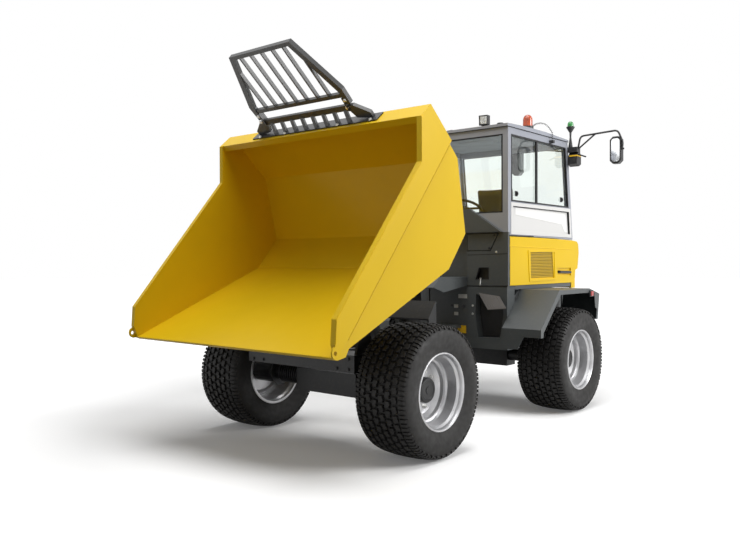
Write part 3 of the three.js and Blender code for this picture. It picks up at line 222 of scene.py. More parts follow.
def metal(name, colour, rough, brushed=(1, 1, 1), strength=0.1, metallic=1.0):
    nodes = Nodes(name)
    nodes.base(nodes.clouds(nodes.noise(9.0, 4.0), colour, 0.92, 1.05))
    grain = nodes.noise(120.0, 4.0, 0.6, brushed)
    nodes.roughness(grain, max(0.03, rough - 0.08), rough + 0.1)
    nodes.bump(grain, strength, 0.0003)
    nodes.set(Metallic=metallic)
    return nodes.material


def rubber(name, colour, rough):
    nodes = Nodes(name)
    nodes.base(nodes.clouds(nodes.noise(7.0, 5.0, 0.6), colour, 0.8, 1.35, 0.72))
    nodes.roughness(nodes.noise(25.0, 4.0), rough - 0.1, rough + 0.08)
    nodes.bump(nodes.noise(180.0, 4.0, 0.6), 0.3, 0.0008)
    nodes.set(Specular_IOR_Level=0.3)
    return nodes.material


def glass(name, tint, rough=0.015):
    """Pane glass, which shows what is behind it and a faint smear of dust."""
    nodes = Nodes(name)
    nodes.roughness(nodes.noise(9.0, 5.0, 0.6), rough, rough + 0.05, 0.45, 0.8)
    nodes.base(nodes.clouds(nodes.noise(3.0), tint, 1.0, 1.03))
    nodes.set(Transmission_Weight=1.0, IOR=1.45)
    return nodes.material


def lens(name, colour, through=0.5, glow=0.0):
    """Ribbed signal lens of coloured plastic."""
    nodes = Nodes(name)
    nodes.base(nodes.clouds(nodes.noise(26.0, 3.0), colour, 0.75, 1.25))
    nodes.roughness(nodes.noise(40.0), 0.12, 0.24)
    wave = nodes.add("ShaderNodeTexWave", bands_direction="Z")
    wave.inputs["Scale"].default_value = 60.0
    nodes.link(nodes.place, wave.inputs["Vector"])
    nodes.bump(wave.outputs["Fac"], 0.3, 0.001)
    nodes.set(Transmission_Weight=through, Coat_Weight=0.4)
    if glow:
        nodes.set(Emission_Color=(*colour, 1.0), Emission_Strength=glow)
    return nodes.material


def cloth(name, colour):
    """Plain weave: bands both ways, dark in the gaps between threads."""
    nodes = Nodes(name)
    both = nodes.add("ShaderNodeMath", operation="MULTIPLY")
    for direction, socket in zip("YZ", both.inputs):
        wave = nodes.add("ShaderNodeTexWave", bands_direction=direction)
        wave.inputs["Scale"].default_value = 160.0
        wave.inputs["Distortion"].default_value = 1.0
        nodes.link(nodes.place, wave.inputs["Vector"])
        nodes.link(wave.outputs["Fac"], socket)
    cloud = nodes.clouds(nodes.noise(14.0, 5.0, 0.6), colour, 0.75, 1.3)
    nodes.base(nodes.mix(both.outputs[0], shade(colour, 0.6), cloud))
    nodes.roughness(nodes.noise(60.0), 0.8, 0.95)
    nodes.bump(both.outputs[0], 0.5, 0.0006)
    nodes.set(Sheen_Weight=0.25)
    return nodes.material


YELLOW = (0.76, 0.50, 0.008)
MATERIALS = {
    "body_yellow": paint("yellow_paint", YELLOW, 0.36, coat=0.04, vary=0.03, gloss=0.18),
    "dark_grey": paint("dark_grey_paint", (0.072, 0.079, 0.081), 0.40, dust=0.06, vary=0.08),
    "cab_grey": paint("cab_grey_paint", (0.30, 0.315, 0.36), 0.33, coat=0.25, dust=0.02),
    "black_paint": paint("black_paint", (0.0085, 0.0088, 0.0095), 0.42, dust=0.05, vary=0.15),
    "black_plastic": plastic("black_plastic", (0.011, 0.011, 0.012), 0.5),
    "tyre": rubber("tyre_rubber", (0.0080, 0.0073, 0.0068), 0.62),
    "wheel_silver": metal("wheel_silver", (0.52, 0.52, 0.53), 0.34, metallic=0.75),
    "chrome": metal("hard_chrome", (0.78, 0.79, 0.8), 0.12, (1, 1, 40)),
    "clear_glass": glass("clear_glass", (0.93, 0.97, 0.95)),
    "white_pane": paint("pale_film", (0.70, 0.695, 0.68), 0.3, vary=0.012, peel=0.02),
    "amber_lens": lens("amber_lens", (0.60, 0.095, 0.02), glow=0.03, through=0.35),
    "green_lens": lens("green_lens", (0.01, 0.26, 0.035), glow=0.15),
    "seat_fabric": cloth("seat_cloth", (0.035, 0.035, 0.038)),
    "engine_grey": paint("engine_paint", (0.10, 0.11, 0.115), 0.55, dust=0.2),
}
# The guard's dark paint, made lighter than the black paint: partly its own colour and partly painted sheen
# for the bars' reflections.
GUARD_PAINT_AND_SHEEN = paint("guard_paint_and_sheen", (0.045, 0.046, 0.047), 0.36, coat=0.2, dust=0.05)
STEEL = metal("zinc_steel", (0.62, 0.62, 0.6), 0.32)
RUBBER_SEAL = rubber("seal_rubber", (0.012, 0.012, 0.013), 0.6)
HOSE = rubber("hose_rubber", (0.014, 0.014, 0.015), 0.5)
MIRROR = metal("mirror_face", (0.82, 0.84, 0.85), 0.03, strength=0.01)
LAMP_GLASS = glass("lamp_glass", (0.95, 0.96, 0.96), 0.05)
REFLECTOR = metal("lamp_reflector", (0.85, 0.85, 0.84), 0.14)
RED_LENS = lens("red_lens", (0.55, 0.012, 0.01), through=0.25)
# Pale plastic for the blank labels. The work lamps use it too, as a painted reflection behind their panes.
LABEL_AND_LAMP_GLARE = plastic("blank_label", (0.62, 0.62, 0.6), 0.4, 0.03)
BRIGHT_FILM = paint("bright_film", (0.88, 0.875, 0.86), 0.3, vary=0.01, peel=0.02)
YELLOW_LABEL = plastic("blank_yellow_label", (0.85, 0.5, 0.01), 0.4, 0.03)
CEILING = plastic("cab_lining", (0.30, 0.32, 0.35), 0.7, 0.25)

# -------------------- building blocks


def on_side(sign, near, far):
    """Two distances from the middle plane as y values on one side, the lower first."""
    return sorted((sign * near, sign * far))


def smooth_by_angle(obj, degrees):
    """Smooth faces that stay sharp where they meet at more than the angle."""
    for polygon in obj.data.polygons:
        polygon.use_smooth = True
    modifier = obj.modifiers.new("normals", "WEIGHTED_NORMAL")
    modifier.keep_sharp = True
    limit = math.radians(degrees)
    work = bmesh.new()
    work.from_mesh(obj.data)
    for edge in work.edges:
        edge.smooth = edge.calc_face_angle(math.pi) < limit
    work.to_mesh(obj.data)
    work.free()


class Kit:
    """Gathers closed shapes that make one piece of one material."""

    def __init__(self, where=at):
        self.where = where
        self.points = []
        self.faces = []

    def add(self, points, faces, placed=False):
        start = len(self.points)
        self.points += [Vector(p) if placed else self.where(*p) for p in points]
        self.faces += [[start + i for i in face] for face in faces]
        return self

    def block(self, x0, x1, y0, y1, z0, z1):
        points = [(x, y, z) for x in (x0, x1) for y in (y0, y1) for z in (z0, z1)]
        faces = [(0, 1, 3, 2), (4, 6, 7, 5), (0, 4, 5, 1), (2, 3, 7, 6), (0, 2, 6, 4), (1, 5, 7, 3)]
        return self.add(points, faces)

    def slab(self, outline, across, low, high):
        """An outline of (y, z) or (x, z) points, thick from low to high across in x or y."""

        def put(a, b, c):
            return (c, a, b) if across == "x" else (a, c, b)

        n = len(outline)
        points = [put(a, b, c) for c in (low, high) for a, b in outline]
        sides = [(i, (i + 1) % n, n + (i + 1) % n, n + i) for i in range(n)]
        return self.add(points, [tuple(range(n))[::-1], tuple(range(n, 2 * n)), *sides])

    def plate(self, low, high):
        """A solid between two faces of four corners each."""
        sides = [(i, 4 + i, 4 + (i + 1) % 4, (i + 1) % 4) for i in range(4)]
        return self.add([*low, *high], [(0, 1, 2, 3), (4, 7, 6, 5), *sides])

    def frame_bar(self, outline, across, low, high, width):
        """A flat ring that follows an outline, width wide on its inner side."""
        n = len(outline)
        centre = Vector((sum(p[0] for p in outline) / n, sum(p[1] for p in outline) / n))
        inner = []
        for i, point in enumerate(outline):
            back = (Vector(outline[i - 1]) - Vector(point)).normalized()
            onward = (Vector(outline[(i + 1) % n]) - Vector(point)).normalized()
            away = (back + onward).normalized()
            if away.dot(centre - Vector(point)) < 0:
                away = -away
            # The limit keeps a sharp corner's inner point near.
            sine = max(0.35, abs(back.x * away.y - back.y * away.x))
            inner.append(tuple(Vector(point) + away * (width / sine)))
        for i in range(n):
            j = (i + 1) % n
            self.slab([outline[i], outline[j], inner[j], inner[i]], across, low, high)
        return self

    def rod(self, start, end, radius, sides, end_radius=None):
        a, b = self.where(*start), self.where(*end)
        along = (b - a).normalized()
        across = along.orthogonal().normalized()
        up = along.cross(across)
        points = []
        for centre, r in ((a, radius), (b, radius if end_radius is None else end_radius)):
            for i in range(sides):
                angle = 2 * math.pi * i / sides
                points.append(centre + (across * math.cos(angle) + up * math.sin(angle)) * r / 1000)
        sidefaces = [(i, (i + 1) % sides, sides + (i + 1) % sides, sides + i) for i in range(sides)]
        caps = [tuple(range(sides))[::-1], tuple(range(sides, 2 * sides))]
        return self.add(points, caps + sidefaces, placed=True)

    def bolt(self, x, y, z, direction, size, high):
        """A hexagon head on a washer."""
        d = Vector(direction)
        foot = Vector((x, y, z))
        self.rod(foot, foot + d * 2.0, size * 1.45, 18)
        return self.rod(foot + d * 1.5, foot + d * high, size, 6)

    def lathe(self, profile, centre, axis, sides):
        """A closed profile of (radius, height) turned about an axis through a point."""
        a = Vector(axis).normalized()
        across = a.orthogonal().normalized()
        up = a.cross(across)
        middle = self.where(*centre)
        n = len(profile)
        points = []
        for i in range(sides):
            angle = 2 * math.pi * i / sides
            out = across * math.cos(angle) + up * math.sin(angle)
            points += [middle + (out * r + a * h) / 1000 for r, h in profile]
        faces = []
        for i in range(sides):
            j = (i + 1) % sides
            for k in range(n):
                m = (k + 1) % n
                if profile[k][0] < 1e-6 and profile[m][0] < 1e-6:
                    continue  # both ends lie on the axis
                faces.append((i * n + k, j * n + k, j * n + m, i * n + m))
        return self.add(points, faces, placed=True)

    def finish(self, name, slot, body=REAR, bevel=0.0, segments=2, look=None, stands_for=(), angle=35.0):
        """Makes the piece, in its slot's own material unless another look is given."""
        mesh = bpy.data.meshes.new(name)
        mesh.from_pydata([tuple(p) for p in self.points], [], self.faces)
        work = bmesh.new()
        work.from_mesh(mesh)
        bmesh.ops.remove_doubles(work, verts=work.verts, dist=1e-6)
        bmesh.ops.dissolve_degenerate(work, edges=work.edges, dist=1e-6)
        bmesh.ops.recalc_face_normals(work, faces=work.faces)
        work.to_mesh(mesh)
        work.free()
        obj = new_object(name, mesh)
        mesh.materials.append(look or MATERIALS[slot])
        if bevel:
            modifier = obj.modifiers.new("edges", "BEVEL")
            modifier.width = bevel / 1000
            modifier.segments = segments
            modifier.limit_method = "ANGLE"
            modifier.angle_limit = math.radians(40)
        smooth_by_angle(obj, angle)
        if stands_for:
            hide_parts(*stands_for)
        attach(obj, body)
        return obj


def tube(name, points, radius, body, smooth=True):
    """A black rubber hose or wire along points."""
    curve = bpy.data.curves.new(name, "CURVE")
    curve.dimensions = "3D"
    curve.bevel_depth = radius / 1000
    curve.bevel_resolution = 3
    curve.resolution_u = 6
    curve.use_fill_caps = True
    spline = curve.splines.new("BEZIER" if smooth else "POLY")
    if smooth:
        spline.bezier_points.add(len(points) - 1)
        for knot, point in zip(spline.bezier_points, points):
            knot.co = point
            knot.handle_left_type = knot.handle_right_type = "AUTO"
    else:
        spline.points.add(len(points) - 1)
        for knot, point in zip(spline.points, points):
            knot.co = (*point, 1.0)
    curve.materials.append(HOSE)
    obj = new_object(name, curve)
    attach(obj, body)
    return obj


# -------------------- beacon's curly lead


def catmull(points, steps):
    """Points along a smooth line (a Catmull-Rom spline) through the given ones."""
    line = []
    padded = [points[0] * 2 - points[1], *points, points[-1] * 2 - points[-2]]
    for a, b, c, d in zip(padded, padded[1:], padded[2:], padded[3:]):
        for i in range(steps):
            t = i / steps
            bend = 2 * a - 5 * b + 4 * c - d
            twist = 3 * b - a - 3 * c + d
            line.append(0.5 * (2 * b + (c - a) * t + bend * t * t + twist * t**3))
    return [*line, points[-1]]


def lead_route():
    """From the beacon's foot over the roof's edge and down to the cab's side."""
    low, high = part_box("amber_beacon")
    x, y, z = (low[0] + high[0]) / 2, (low[1] + high[1]) / 2, low[2]
    steps = [
        (-66, 2, 26), (-122, 10, 68), (-192, 33, 93), (-262, 63, 88),
        (-307, 90, 48), (-330, 110, 0), (-324, 112, -44), (-320, 112, -74),
    ]
    return [Vector((x + a / 1000, y + b / 1000, z + c / 1000)) for a, b, c in steps]


LEAD_TURNS = 21
LEAD_STEPS = 14  # points in one turn
LEAD_COIL = 0.0062  # radius of the coil, in metres
LEAD_WIRE = 0.0026  # radius of the wire, in metres


def curly_lead():
    """A helix along the route, as one wire."""
    spine = catmull(lead_route(), 24)
    lengths = [0.0]
    for a, b in zip(spine, spine[1:]):
        lengths.append(lengths[-1] + (b - a).length)
    normal = Vector((0, 0, 1))
    points = []
    for i in range(LEAD_TURNS * LEAD_STEPS + 1):
        share = i / (LEAD_TURNS * LEAD_STEPS)
        want = share * lengths[-1]
        k = max(j for j, length in enumerate(lengths) if length <= want + 1e-9)
        k = min(k, len(spine) - 2)
        part = (want - lengths[k]) / max(1e-9, lengths[k + 1] - lengths[k])
        centre = spine[k].lerp(spine[k + 1], part)
        along = (spine[min(k + 2, len(spine) - 1)] - spine[max(0, k - 1)]).normalized()
        normal = (normal - along * normal.dot(along)).normalized()
        other = along.cross(normal)
        # The coil opens over the first fourteenth of the lead and closes over the last.
        ease = min(1.0, 14 * share, 14 * (1 - share))
        angle = 2 * math.pi * LEAD_TURNS * share
        points.append(centre + (normal * math.cos(angle) + other * math.sin(angle)) * LEAD_COIL * ease)
    lead = tube("beacon_lead", points, LEAD_WIRE * 1000, REAR, smooth=False)
    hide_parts("beacon_cord")


curly_lead()

# -------------------- wheels

TYRE_RADIUS = 517.5
TREAD_HALF = 176.0
SHOULDER = 205.0
BEAD = 291.0
ROWS = 6
BLOCKS = 46
BLOCK_FILL = 0.92
BLOCK_LEVELS = ((0.97, 26.0), (0.88, 2.0), (0.80, 0.0))  # share of the outline, depth under the crown
LUG_SKEW = 0.012


def crown(y):
    """Radius of the tread's outer face, 15 mm less at the shoulder than in the middle."""
    return TYRE_RADIUS - 0.4 - 15.0 * (abs(y) / SHOULDER) ** 2.6


def tyre(name, x, side_sign):
    """A carcass with rows of slanted tread blocks and lugs round both shoulders."""
    wheel = Kit()
    cx, cy, cz = centre = (x, side_sign * WHEEL_Y, WHEEL_Z)
    side_wall = [(0, 205), (6, 213), (18, 217), (34, 222), (58, 230), (88, 237), (116, 239.6), (142, 239)]
    half = [(BEAD + r, h) for r, h in [*side_wall, (164, 234), (180, 227)]]
    half += [(483, 218), (487, 206), (491, 190), (495, 120), (496, 40)]
    profile = [*half, *[(r, -h) for r, h in reversed(half)], (BEAD - 4, -190), (BEAD - 4, 190)]
    wheel.lathe(profile, centre, (0, 1, 0), 72)

    def spot(angle, y, r):
        return (cx + r * math.sin(angle), cy + y, cz + r * math.cos(angle))

    shape = [
        (-0.43, -0.36), (-0.10, -0.47), (0.16, -0.30), (0.45, -0.36),
        (0.43, 0.36), (0.10, 0.47), (-0.16, 0.30), (-0.45, 0.36),
    ]
    n = len(shape)
    block_faces = [tuple(range(2 * n, 3 * n))]
    for level in range(2):
        for k in range(n):
            m = (k + 1) % n
            block_faces.append((level * n + k, level * n + m, level * n + n + m, level * n + n + k))
    pitch_angle = 2 * math.pi / BLOCKS
    row_width = 2 * TREAD_HALF / ROWS
    for row in range(ROWS):
        middle = -TREAD_HALF + row_width * (row + 0.5)
        flip = 1 if row % 2 else -1
        for i in range(BLOCKS):
            angle = pitch_angle * (i + 0.5 * (row % 2))
            ring = []
            for scale, sunk in BLOCK_LEVELS:
                for u, v in shape:
                    y = middle + v * scale * row_width * BLOCK_FILL
                    a = angle + u * flip * scale * pitch_angle * BLOCK_FILL
                    ring.append(spot(a, y, crown(y) - sunk))
            wheel.add(ring, block_faces)
    lug_faces = []
    for k in range(3):
        lug_faces += [(k, k + 1, 9 + k, 8 + k), (k, 4 + k, 5 + k, k + 1), (8 + k, 9 + k, 13 + k, 12 + k)]
    lug_faces += [(3, 7, 15, 11), (0, 8, 12, 4)]
    lugs = 2 * BLOCKS
    for edge in (-1, 1):
        for i in range(lugs):
            angle = 2 * math.pi * (i + 0.25 * edge) / lugs
            wide = 2 * math.pi / lugs * (0.34 if i % 2 else 0.30)
            reach, foot = (236.5, 478) if i % 2 else (231.0, 486)
            outer = [(181, crown(181)), (205, crown(205)), (222, 497), (reach, foot)]
            deep = [(181, 484), (205, 480), (218, 474), (reach - 12, foot - 14)]
            ring = []
            for a in (angle - wide, angle + wide):
                for line in (outer, deep):
                    for k, (y, r) in enumerate(line):
                        ring.append(spot(a + LUG_SKEW * edge * k / 3, edge * y, r))
            wheel.add(ring, lug_faces)
    wheel.finish(name + "_tread", "tyre", name.replace("_tyre", "_wheel"), stands_for=(name,), angle=28)


def rim(name, x, out):
    """Dished wheel with its hub and nuts; out is the sign of y on its side."""
    body = name.replace("_rim", "_wheel")
    centre = (x, out * WHEEL_Y, WHEEL_Z)
    kit = Kit()
    flange = 219.0
    profile = [
        (0, -4), (105, -4), (196, -10), (222, 6), (232, 26), (258, 30), (262, 10), (262, -170), (276, -190),
        (277, -flange), (291, -flange), (298, -flange + 3), (300, -flange + 9), (292, -flange + 11),
        (290, -205), (284, -190), (272, -168), (272, 60), (283, 78), (288, 170), (290, 205),
        (292, flange - 11), (300, flange - 10), (300, flange - 6), (296, flange - 1), (291, flange),
        (286, flange - 4), (280, flange - 14), (276, 186), (262, 168), (256, 86), (247, 70), (229, 66),
        (222, 40), (196, 8), (105, 12), (0, 12),
    ]
    kit.lathe([(r, out * h) for r, h in profile], centre, (0, 1, 0), 72)
    kit.finish(name + "_dish", "wheel_silver", body, stands_for=(name,), angle=24)
    hub = Kit()
    cap = [(0, 0), (98, 0), (98, 74), (92, 82), (70, 86), (66, 83), (30, 83), (28, 87), (0, 87)]
    hub.lathe([(r, out * h) for r, h in cap], centre, (0, 1, 0), 48)
    hub.finish(name + "_hub", "black_paint", body, angle=28)
    nuts = Kit()
    nut_count, nut_circle = 10, 143
    y = out * (WHEEL_Y + 10)
    for i in range(nut_count):
        angle = 2 * math.pi * i / nut_count
        px, pz = x + nut_circle * math.cos(angle), WHEEL_Z + nut_circle * math.sin(angle)
        nuts.bolt(px, y, pz, (0, out, 0), 13.0, 22.0)
        nuts.rod((px, y, pz), (px, y + out * 30, pz), 7.0, 12)
    # The tyre's valve.
    nuts.rod((x + 236, out * (WHEEL_Y + 62), WHEEL_Z), (x + 232, out * (WHEEL_Y + 112), WHEEL_Z), 5.0, 10)
    nuts.finish(name + "_nuts", "wheel_silver", body, look=STEEL)


for end, axle_x in (("front", WHEEL_X), ("rear", -WHEEL_X)):
    for hand, sign in HANDS:
        tyre(f"{end}_{hand}_tyre", axle_x, sign)
        rim(f"{end}_{hand}_rim", axle_x, sign)

# -------------------- cab details

CAB_FRONT, CAB_REAR, CAB_TOP = -520.0, -1815.0, 2801.0


def rear_at(z):
    """The cab's rear edge, 126 mm further back at the sill, 1063.6 mm under the roof."""
    return CAB_REAR - 126.0 * (CAB_TOP - z) / 1063.6


def window_outline(low, high, front, inset):
    return [(front, low), (front, high), (rear_at(high) + inset, high), (rear_at(low) + inset, low)]


def cab_seals():
    """Seals round the left windows, the windscreen and the rear pane, and the roof's seam."""
    seals = Kit().frame_bar(window_outline(2085, 2736, -580, 60), "y", 683, 702.5, 15)
    seals.frame_bar(window_outline(1788, 2045, -580, 60), "y", 683, 701.0, 9)
    screen = [(-640, 1975), (640, 1975), (640, 2736), (-640, 2736)]
    seals.frame_bar(screen, "x", -537, -520.5, 14)
    seals.slab([(-1095, 2098), (-1122, 2098), (-1122, 2724), (-1095, 2724)], "y", 683, 701.5)
    for z in (2738, 1798):
        seals.rod((rear_at(z) + 9, -640, z), (rear_at(z) + 9, 640, z), 9, 8)
    for y in (-640, 640):
        seals.rod((rear_at(1798) + 9, y, 1798), (rear_at(2738) + 9, y, 2738), 9, 8)
    seals.finish("window_seals", "black_plastic", bevel=1.2, look=RUBBER_SEAL)
    seam = Kit().block(-1826, -508, 704.3, 706.5, 2799, 2806)
    seam.block(-1826, -508, -706.5, -704.3, 2799, 2806)
    seam.block(-507.8, -505.5, -704, 704, 2799, 2806)
    seam.finish("roof_seam", "black_plastic", bevel=0.6, look=RUBBER_SEAL)
    band = Kit().block(-1030, -548, 701, 704, 1749, 1757)
    band.finish("sill_joint", "black_plastic", bevel=0.5, look=RUBBER_SEAL)


def side_film():
    """Pale panel over the lower side window, left open round its brighter middle."""
    top, low = 2076.0, 1764.0
    outline = [(-576, low), (-576, top), (rear_at(top) + 22, top), (rear_at(low) + 26, low - 4)]
    rim_bar = Kit().frame_bar(outline, "y", 700.4, 703.4, 36)
    rim_bar.finish("side_film_rim", "white_pane", bevel=1.0)
    patch = [(-690, 1960), (-690, 2030), (-1800, 2012), (-1835, 1815), (-1775, 1818), (-1700, 1900)]
    bright = Kit().slab(patch, "y", 682.6, 684.2)
    bright.finish("side_film_patch", "white_pane", bevel=0.4, look=BRIGHT_FILM)


def window_latches():
    latches = Kit()
    for x in (-705, -1690):
        latches.block(x - 22, x + 22, 682.4, 690, 2140, 2192)
        latches.block(x - 9, x + 9, 689, 704, 2148, 2184)
        latches.rod((x, 690, 2166), (x, 708, 2166), 8, 14)
    latches.finish("window_latches", "black_plastic", bevel=1.5)


def roof_gear():
    cap = [(0, 0), (34, 0), (34, 8), (28, 15), (10, 18), (0, 18)]
    puck = Kit().lathe(cap, (-560, 593, 2836), (0, 0, 1), 32)
    puck.block(-690, -590, -50, 14, 2841, 2853)
    puck.bolt(-615, -18, 2853, (0, 0, 1), 7, 6)
    puck.bolt(-665, -18, 2853, (0, 0, 1), 7, 6)
    puck.finish("roof_puck", "black_plastic", bevel=1.5)
    lining = Kit().block(-1740, -590, -610, 610, 2786, 2796)
    lining.block(-1300, -1000, -180, 180, 2780, 2788)
    lining.finish("cab_lining", "cab_grey", bevel=4.0, look=CEILING)


def work_light(hand, y):
    """Square lamp on the roof's front edge: ribbed housing, four cups and a pane."""
    foot = 2834.4  # the roof's top

    def square(half, low, high):
        bottom, top = foot + low, foot + high
        return [(y - half, bottom), (y - half, top), (y + half, top), (y + half, bottom)]

    housing = Kit().slab(square(48, 10, 104), "x", -560, -514)
    for i in range(6):
        housing.block(-570, -559, y - 40 + 15 * i, y - 35 + 15 * i, foot + 20, foot + 94)
    housing.frame_bar(square(48, 10, 104), "x", -515, -508, 9)
    housing.block(-552, -528, y - 26, y + 26, foot + 0.6, foot + 11)
    housing.finish(f"{hand}_lamp_housing", "black_plastic", bevel=2.5, stands_for=(f"{hand}_work_light",))
    cups = Kit()
    cup = [(0, -12), (13, -12), (17, -1), (19, -1), (19, 0), (17.5, 0), (12, -10.5), (0, -10.5)]
    for row in (0, 1):
        for column in (0, 1):
            cups.lathe(cup, (-511.5, y - 20 + 40 * column, foot + 37 + 40 * row), (1, 0, 0), 24)
    cups.finish(f"{hand}_lamp_cups", "chrome", look=REFLECTOR, angle=25)
    # A pale flat sheet just behind the pane, in front of most of the cups' depth: painted reflection,
    # standing in for the bright glare of the lamp's reflectors.
    glare_sheet = Kit().block(-513.6, -512.6, y - 38, y + 38, foot + 20, foot + 94)
    glare_sheet.finish(f"{hand}_lamp_painted_glare", "white_pane", bevel=0.3, look=LABEL_AND_LAMP_GLARE)
    face = Kit().slab(square(39, 19, 95), "x", -511, -509.4)
    face.finish(f"{hand}_lamp_face", "clear_glass", bevel=0.5, look=LAMP_GLASS)


def beacons():
    """Amber beacon on the roof and green one on its stalk behind the cab."""
    upright = (0, 0, 1)
    x, y, z = amber = (-1078, 612, 2845.3)
    base = Kit().lathe([(0, 0), (57, 0), (58, 6), (58, 30), (54, 38), (50, 40), (0, 40)], amber, upright, 40)
    for i in range(12):
        a = 2 * math.pi * i / 12
        rib_x, rib_y = x + 57 * math.cos(a), y + 57 * math.sin(a)
        base.rod((rib_x, rib_y, z + 6), (rib_x, rib_y, z + 30), 2.0, 6)
    base.finish("beacon_base", "black_plastic", angle=28)
    dome = Kit()
    outer = [(49, 40.5), (49.5, 60), (49, 108), (45, 128), (35, 145), (20, 155), (0, 158)]
    inner = [(0, 154), (19, 151), (32, 142), (41, 126), (45, 108), (45.5, 60), (45, 40.5)]
    dome.lathe([*outer, *inner], amber, upright, 48)
    dome.finish("beacon_dome", "amber_lens", stands_for=("amber_beacon",), angle=40)
    core = Kit().lathe([(0, 40), (24, 40), (18, 96), (22, 104), (22, 112), (0, 114)], amber, upright, 24)
    core.finish("beacon_core", "chrome", look=REFLECTOR, angle=30)
    x, y, z = green_foot = (-1872, 708, 2743.3)
    stalk = Kit()
    funnel = [(0, 0), (26, 0), (24, 14), (11, 104), (10, 124), (12, 168), (30, 198), (45, 222)]
    stalk.lathe([*funnel, (46, 231), (40, 234), (0, 234)], green_foot, upright, 32)
    stalk.rod((x, y, z + 60), (x + 22, y + 16, z + 96), 4, 8)
    stalk.finish("green_beacon_stalk", "black_plastic", angle=28)
    green = Kit()
    cap = [(0, 234.5), (32, 234.5), (33, 250), (31, 268), (24, 282), (12, 290), (0, 292)]
    green.lathe(cap, green_foot, upright, 32)
    green.finish("green_beacon_dome", "green_lens", stands_for=("green_beacon",), angle=40)


def rounded(y, z, half, tall, corner):
    """Outline of a rectangle round (y, z) with rounded corners."""
    points = []
    for sy, sz, start in ((1, 1, 0), (-1, 1, 90), (-1, -1, 180), (1, -1, 270)):
        for k in range(7):
            a = math.radians(start + 15 * k)
            point_y = y + sy * (half - corner) + corner * math.cos(a)
            points.append((point_y, z + sz * (tall - corner) + corner * math.sin(a)))
    return points


def mirror_faces():
    faces = Kit()
    trims = Kit()
    for sign in (1, -1):
        y = sign * 1225.0
        faces.slab(rounded(y, 2670, 47, 122, 34), "x", -1843.8, -1842.0)
        trims.frame_bar(rounded(y, 2670, 58, 133, 42), "x", -1844, -1838, 12)
        trims.rod((-1876, sign * 1284, 2681), (-1876, sign * 1306, 2681), 13, 18, 9)
    trims.finish("mirror_trims", "black_plastic", bevel=1.2)
    faces.finish("mirror_faces", "chrome", bevel=0.6, look=MIRROR)
    lamp_band = Kit().slab([(-1905, 2636), (-1905, 2650), (-1812, 2656), (-1812, 2640)], "y", 722, 813)
    lamp_band.finish("rear_lamp_band", "body_yellow", bevel=0.8, look=YELLOW_LABEL)
    stub = Kit().rod((-1858, 806, 2664), (-1858, 893, 2630), 8, 12)
    stub.finish("rear_lamp_stub", "black_paint")


# -------------------- body details


def intake_and_panel():
    body = "left_side_panel"
    louvres = Kit()
    for i in range(17):
        z = 1332 + 15.6 * i
        louvres.slab([(689, z), (698.5, z + 9), (698.5, z + 12), (689, z + 4)], "x", -1476, -984)
    gold = paint("intake_gold", (0.46, 0.33, 0.06), 0.6)
    louvres.finish("intake_louvres", "body_yellow", body, bevel=0.4, look=gold)
    pressed = Kit()
    outline = [(-915, 1612), (-1512, 1621), (-1526, 1302), (-944, 1294)]
    pressed.frame_bar(outline, "y", 699, 706, 22)
    pressed.slab([(-542, 1652), (-542, 1645), (-1920, 1627), (-1920, 1634)], "y", 699.2, 702.6)
    pressed.finish("panel_pressing", "body_yellow", body, bevel=3.0, segments=3)
    grip = Kit().rod((-1612, 703, 1388), (-1882, 703, 1380), 14, 20)
    grip.block(-1640, -1600, 686, 704, 1374, 1402)
    grip.finish("panel_grip", "black_plastic", body, bevel=2.0)
    strip = Kit()
    for sign in (1, -1):
        strip.block(-1909, -667, *on_side(sign, 645, 690), 1223, 1264)
        strip.block(-664, -545, *on_side(sign, 645, 690), 1250.8, 1264)
        strip.block(-548, -528, *on_side(sign, 240, 690), 1250.6, 1260.6)
    strip.finish("sill_strip", "dark_grey", bevel=1.5)


def front_wall():
    x = CAB_FRONT
    lines = Kit().slab([(244, 1562), (244, 1568), (695, 1578), (695, 1572)], "x", x - 1, x + 1.6)
    lines.slab([(237, 1254), (237, 1260), (695, 1268), (695, 1262)], "x", x - 1, x + 1.8)
    opening = ((334, 1324), (483, 1324), (487, 1439), (373, 1439))
    for sign in (1, -1):
        lines.frame_bar([(sign * y, z) for y, z in opening], "x", x - 18, x + 1.8, 5)
    lines.finish("front_joints", "black_plastic", bevel=0.5, look=RUBBER_SEAL)
    # Black sheets at the back of the front wall's openings and of the tanks' step pockets: painted shade,
    # standing in for the shade inside these recesses.
    recess_shade_sheets = Kit()
    upper = ((322, 1312), (496, 1312), (500, 1452), (362, 1452))
    lower = ((333, 975), (366, 748), (609, 758), (647, 985), (638, 1118), (340, 1174))
    for sign in (1, -1):
        recess_shade_sheets.slab([(sign * y, z) for y, z in upper], "x", x - 64, x - 52)
        recess_shade_sheets.slab([(sign * y, z) for y, z in lower], "x", -614.6, -608)
    recess_shade_sheets.finish("recess_painted_shade", "black_plastic", bevel=1.5)
    # A black block behind the service hatch's top slit: painted shade, standing in for the shade inside the
    # slit.
    hatch_shade_block = Kit().block(-566, -557, 236, 600, 1600, 1783)
    hatch_shade_block.finish("hatch_painted_shade", "black_plastic", bevel=1.0)
    hatch = Kit().rod((x, 545, 1755), (x + 13, 545, 1755), 11, 18, 8)
    hatch.rod((x, 490, 1633), (x + 13, 490, 1633), 11, 18, 8)
    hatch.finish("hatch_knobs", "black_plastic", "service_hatch", bevel=1.0)
    bright = Kit().rod((x - 1, 571, 1592), (x + 6, 571, 1592), 12, 24, 10)
    bright.rod((x + 9, 398, 1330), (x + 9, 391, 1268), 6, 12)
    bright.rod((x, 398, 1330), (x + 14, 398, 1330), 9, 14)
    bright.rod((x, 391, 1272), (x + 14, 391, 1272), 9, 14)
    for z in (1060, 978):
        bright.bolt(x, 300, z, (1, 0, 0), 8, 7)
        bright.bolt(x, -300, z, (1, 0, 0), 8, 7)
    bright.finish("front_fittings", "chrome", bevel=0.6, look=STEEL)


